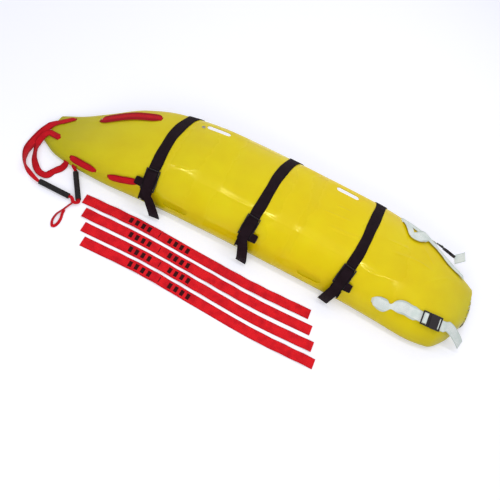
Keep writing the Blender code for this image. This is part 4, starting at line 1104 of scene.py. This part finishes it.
# stops in the open: place, width and turn in degrees, and for the inner band place and turn
OUTER_SWEEP = (
    ((-1.05, -0.15, 0.036), 0.032, 0),
    ((-1.064, -0.19, 0.024), 0.038, 0),
    ((-1.073, -0.24, 0.013), 0.04, 0),
    ((-1.073, -0.3, 0.014), 0.041, 14),
    ((-1.058, -0.35, 0.0158), 0.036, 48),
    ((-1.03, -0.392, 0.0158), 0.03, 78),
    ((-0.99, -0.414, GRIP_Z), 0.021, 40),
)
INNER_SWEEP = (
    ((-1.046, -0.214, 0.033), 0),
    ((-1.052, -0.248, 0.018), 0),
    ((-1.042, -0.29, 0.012), 48),
    ((-1.018, -0.34, 0.012), 40),
    ((-0.974, -0.38, 0.007), 8),
    ((-0.934, -0.382, 0.008), 14),
    ((-0.914, -0.35, 0.015), 60),
    ((-0.899, -0.314, 0.006), 12),
)
TOW = (
    (-0.765, -0.443), (-0.774, -0.47), (-0.782, -0.498), (-0.793, -0.53), (-0.792, -0.566),
    (-0.779, -0.59), (-0.767, -0.58), (-0.765, -0.548), (-0.774, -0.514), (-0.777, -0.494),
)


def along_grip(grip):
    """Stops of the bridle through a grip, from just before it to just past it."""
    (x, y), (dx, dy) = grip
    run = Vector((dx, dy, 0)).normalized() * GRIP_LENGTH
    return [(Vector((x, y, GRIP_Z)) + run * share, BRIDLE_NECK, 0) for share in (-0.08, 0.08, 0.92, 1.08)]


def wall_rows(x):
    """A band's end that comes down against the near side."""
    path = [(x, 9.2, LAY + SLACK), (x, 8.9, LAY + SLACK / 2), (x, 8.6, LAY)]
    return on_sheet(path, BRIDLE_WIDTH * 0.85)


inner = free([(place, BRIDLE_WIDTH, turn) for place, turn in INNER_SWEEP])
outer = free([*OUTER_SWEEP, *along_grip(GRIPS[0]), BEND, *along_grip(GRIPS[1])])
lying = crosswise([(-0.897, -0.303, 0.0045), (-0.895, -0.294, 0.007)], (1, 0, 0), BRIDLE_WIDTH)[1:]
BRANCHES = {"bridle_outer": (outer, wall_rows(-0.85))}
BRANCHES["bridle_inner"] = (inner, lying, wall_rows(-0.893))
for node, parts in BRANCHES.items():
    start = on_sheet(threaded(node, both=False), BRIDLE_WIDTH)
    webbing(f"{node}_webbing", [start, *parts], RED_NARROW, node)
stops = [((x, y, TOW_WIDTH / 2 + 0.0004), TOW_WIDTH, 35) for x, y in TOW]
webbing("tow_webbing", [free(stops)], RED_NARROW, "tow_loop", step=0.002)
print("bridle bands", len(BRANCHES) + 1)

# %% [markdown]
# ## White foot straps
#
# Two white straps draw the foot end together, and the near one is slack, so it waves. Each goes under the
# plug's end bar, shows in the slot and dives again, which leaves the black bars standing out on the white.

# %% Foot straps
FOOT_NEAR_END = (
    (1.064, -0.192, 0.03), (1.044, -0.189, 0.05), (1.02, -0.186, 0.07), (0.992, -0.184, 0.091),
    (0.96, -0.188, 0.112),
)
FOOT_FAR_END = ((1.028, 0.9), (1.005, 0.8), (0.985, 0.7))
# the far strap's spare length, folded on the sheet and laid along its far edge: places, lift and width
FOOT_FAR_SPARE = (
    (0.604, 1.35, 0.004, 0.03), (0.63, 1.9, 0.007, 0.036), (0.656, 2.45, 0.006, 0.04),
    (0.684, 2.3, 0.01, 0.05), (0.706, 1.85, 0.011, 0.052), (0.736, 1.35, 0.009, 0.046),
    (0.79, 1.3, 0.006, 0.04), (0.85, 1.45, 0.006, 0.038), (0.91, 1.15, 0.007, 0.038),
    (0.965, 0.95, 0.009, 0.04), (1.012, 0.92, 0.01, 0.042), (1.04, 1.0, 0.014, 0.044),
)
# the strap's end beyond the far buckle, folded back up
FOOT_FAR_FOLD = ((0.908, 0.195, 0.084), (0.922, 0.206, 0.09), (0.936, 0.215, 0.099), (0.946, 0.221, 0.11))
# places under the plug's end bar and over its inner one, and under the socket's bar into its slot
IN_PLUG = (
    (0.06, -0.0035), (0.047, -0.0052), (0.038, -0.005), (0.031, 0.0), (0.025, 0.0047), (0.0195, 0.0058),
    (0.015, 0.0035), (0.0135, -0.001),
)
IN_SOCKET = (
    (-0.064, -0.0062), (-0.0555, -0.0058), (-0.0505, -0.0015), (-0.048, 0.003), (-0.0455, 0.0026),
    (-0.0447, -0.002),
)
# how high the near band's waves lift, and how far they wander over the section
WAVE, WANDER = 0.011, 0.16


def slack_band():
    """Rows of the near band, which waves up and sideways between its slot and its buckle."""
    path = threaded("foot_strap_near", both=False)
    share = np.clip(np.linspace(-0.16, 1, len(path)), 0, 1)
    path[:, 2] += WAVE * np.sin(np.pi * share) * np.sin(2.4 * np.pi * share) ** 2
    path[:, 1] += WANDER * np.sin(np.pi * share) * np.sin(2.2 * np.pi * share)
    # slack lets the band twist almost onto its edge in one place
    width = gather(path, both=False) * (1 - 0.62 * np.exp(-(((share - 0.4) / 0.09) ** 2)) + 0.16 * share)
    return on_sheet(path[:-3], BAND_WIDTH * width[:-3])


def foot_strap(side, lying, end, below):
    """A foot strap's long band into the plug and its short one into the socket."""
    parts = [lying, by_buckle(f"foot_{side}", IN_PLUG, BUCKLED)]
    webbing(f"foot_{side}_webbing", parts, WHITE, f"foot_strap_{side}", ruffle=0.0006)
    parts = [end, by_buckle(f"foot_{side}", [(-0.08, below), *IN_SOCKET], BUCKLED, flip=-1)]
    webbing(f"foot_{side}_tail", parts, WHITE, f"foot_end_{side}", ruffle=0.0004)


BUCKLED = BAND_WIDTH * 0.98
loose = crosswise(FOOT_NEAR_END, -buckle_axes("foot_near")[2], BAND_WIDTH, square=True)
foot_strap("near", slack_band(), loose, -0.006)
lying = on_sheet(threaded("foot_strap_far", both=False), BAND_WIDTH)
end = on_sheet([(x, q, LAY + SLACK) for x, q in FOOT_FAR_END], BAND_WIDTH * 0.8)
foot_strap("far", lying, end, -0.003)

spare = np.array(FOOT_FAR_SPARE)
t = np.linspace(0, len(spare) - 1, 60)
x, q, lift, width = (monotone(np.arange(len(spare)), spare[:, k])(t) for k in range(4))
webbing("foot_far_spare", [on_sheet(np.stack((x, q, lift), -1), width)], WHITE, ruffle=0.0016)
webbing("foot_far_fold", [crosswise(FOOT_FAR_FOLD, (0.3, -0.95, 0.0), BAND_WIDTH)], WHITE)
print("foot straps", 2)

# %% [markdown]
# ## Carry straps
#
# Four loose red straps lie side by side on the floor. Laid by hand, they bend a little sideways and never
# lie quite flat, so each gets its own slow wave.

# %% Carry straps
CARRY_LENGTH, CARRY_PITCH, CARRY_SHIFT, CARRY_COUNT = 1.12, 0.064, 0.033, 4
CARRY_START = (-0.735, -0.395)
# how far a strap bends aside and turns from its neighbour, and how high its waves lift
BEND_ASIDE, TURNED, LIFTED = 0.01, 0.006, 0.0016


def carry_strap(k):
    """One loose strap, which rides on its own body."""
    x, y = CARRY_START[0] + k * CARRY_SHIFT, CARRY_START[1] - k * CARRY_PITCH
    stops = []
    for t in (0, 0.25, 0.5, 0.75, 1):
        side = BEND_ASIDE * math.sin(2 * math.pi * t) - TURNED * k * t
        stops.append(((x + CARRY_LENGTH * t, y + side, BAND_THICK / 2 + 0.0003), BAND_WIDTH, 0.0))
    name = f"carry_strap_{k + 1}"
    made = webbing(f"carry_webbing_{k + 1}", [free(stops)], RED_MARKED, name, body=name)
    for vertex in made.data.vertices:
        along = vertex.co.x - x
        swell = (1 + math.sin(along * 9 + 1.7 * k)) * (0.4 + math.sin(along * 31 + k) ** 2)
        vertex.co.z += LIFTED * swell


for k in range(CARRY_COUNT):
    carry_strap(k)
print("carry straps", CARRY_COUNT, "of", CARRY_LENGTH, "m")

# %% [markdown]
# ## Moulded and metal parts
#
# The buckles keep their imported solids, because their fit makes them work. A narrow bevel gives each edge
# the radius that a mould leaves, which catches the light. Each finish has a fine grain, drawn 1 to 7 mm
# wide so that it shows.


# %% Acetal, rubber and nickel
def grained(name, values, grain, tones, rough=None, bump=None):
    """A finish whose grain moves its tone and, if given, its roughness and its height."""
    made, tree, shader, place = named_finish(name, values)
    scale, detail = grain
    noise = add(tree, "TexNoise", {"Vector": place, "Scale": scale, "Detail": detail})
    wire(shader, {"Base Color": add(tree, "ValToRGB", [noise], stops=tones)})
    if rough:
        wire(shader, {"Roughness": add(tree, "MapRange", [noise, 0.3, 0.7, *rough])})
    if bump:
        relief = {"Height": noise, "Strength": bump[0], "Distance": bump[1]}
        wire(shader, {"Normal": add(tree, "Bump", relief)})
    return made


# injection-moulded acetal: dense black, with a fine spark-eroded texture that breaks up the gloss
values = {"Roughness": 0.42, "IOR": 1.48, "Specular IOR Level": 0.4}
tones = ((0.35, "#130C10"), (0.7, "#1F161B"))
ACETAL = grained("moulded_acetal_black", values, (900.0, 3.0), tones, rough=(0.34, 0.52), bump=(0.2, 0.0002))
# extruded rubber tube: matt black, with a dusty bloom and faint rings from the die
values = {"Roughness": 0.7, "IOR": 1.52, "Specular IOR Level": 0.25}
tones = ((0.4, "#121011"), (0.75, "#262324"))
RUBBER = grained("extruded_rubber_black", values, (140.0, 5.0), tones, bump=(0.4, 0.0004))
# nickel on pressed brass: bright and warm grey, with fine handling scratches
values = {"Roughness": 0.25, "Metallic": 1.0}
tones = ((0.3, "#8F8A80"), (0.7, "#C9C5BB"))
NICKEL = grained("nickel_plated_brass", values, (700.0, 6.0), tones, rough=(0.18, 0.42))
# a word in the solids' names, their finish, and the radius and steps of their edges
DRESSES = (
    ("buckle", ACETAL, 0.0004, 2), ("grip", RUBBER, 0.0012, 3), ("rivet", NICKEL, 0.0003, 2),
    ("grommet", NICKEL, 0.0003, 2),
)


def dress(solid, look, radius=0.0, steps=2):
    """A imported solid's finish, with its edges rounded where a radius is given."""
    for slot in solid.material_slots:
        slot.material = look
    if radius:
        edges = solid.modifiers.new("mould_radius", "BEVEL")
        edges.width = radius
        edges.segments = steps
        edges.limit_method = "ANGLE"
        edges.angle_limit = math.radians(35)


for word, look, radius, steps in DRESSES:
    solids = [NODES[name] for name in NODES if word in name]
    for solid in solids:
        dress(solid, look, radius, steps)
    print(word, len(solids), "solids dressed")

# %% [markdown]
# ## Foot flap
#
# The same sheet is folded up at the foot and tucked under the top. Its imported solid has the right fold, so
# subdivision rounds it and it takes the sheet's own finish.

# %% Foot flap
flap = NODES["foot_flap"]
dress(flap, SHEET[0])
rounding = flap.modifiers.new("fold", "SUBSURF")
rounding.levels = rounding.render_levels = 2
print("foot flap", [round(v, 3) for v in flap.dimensions])
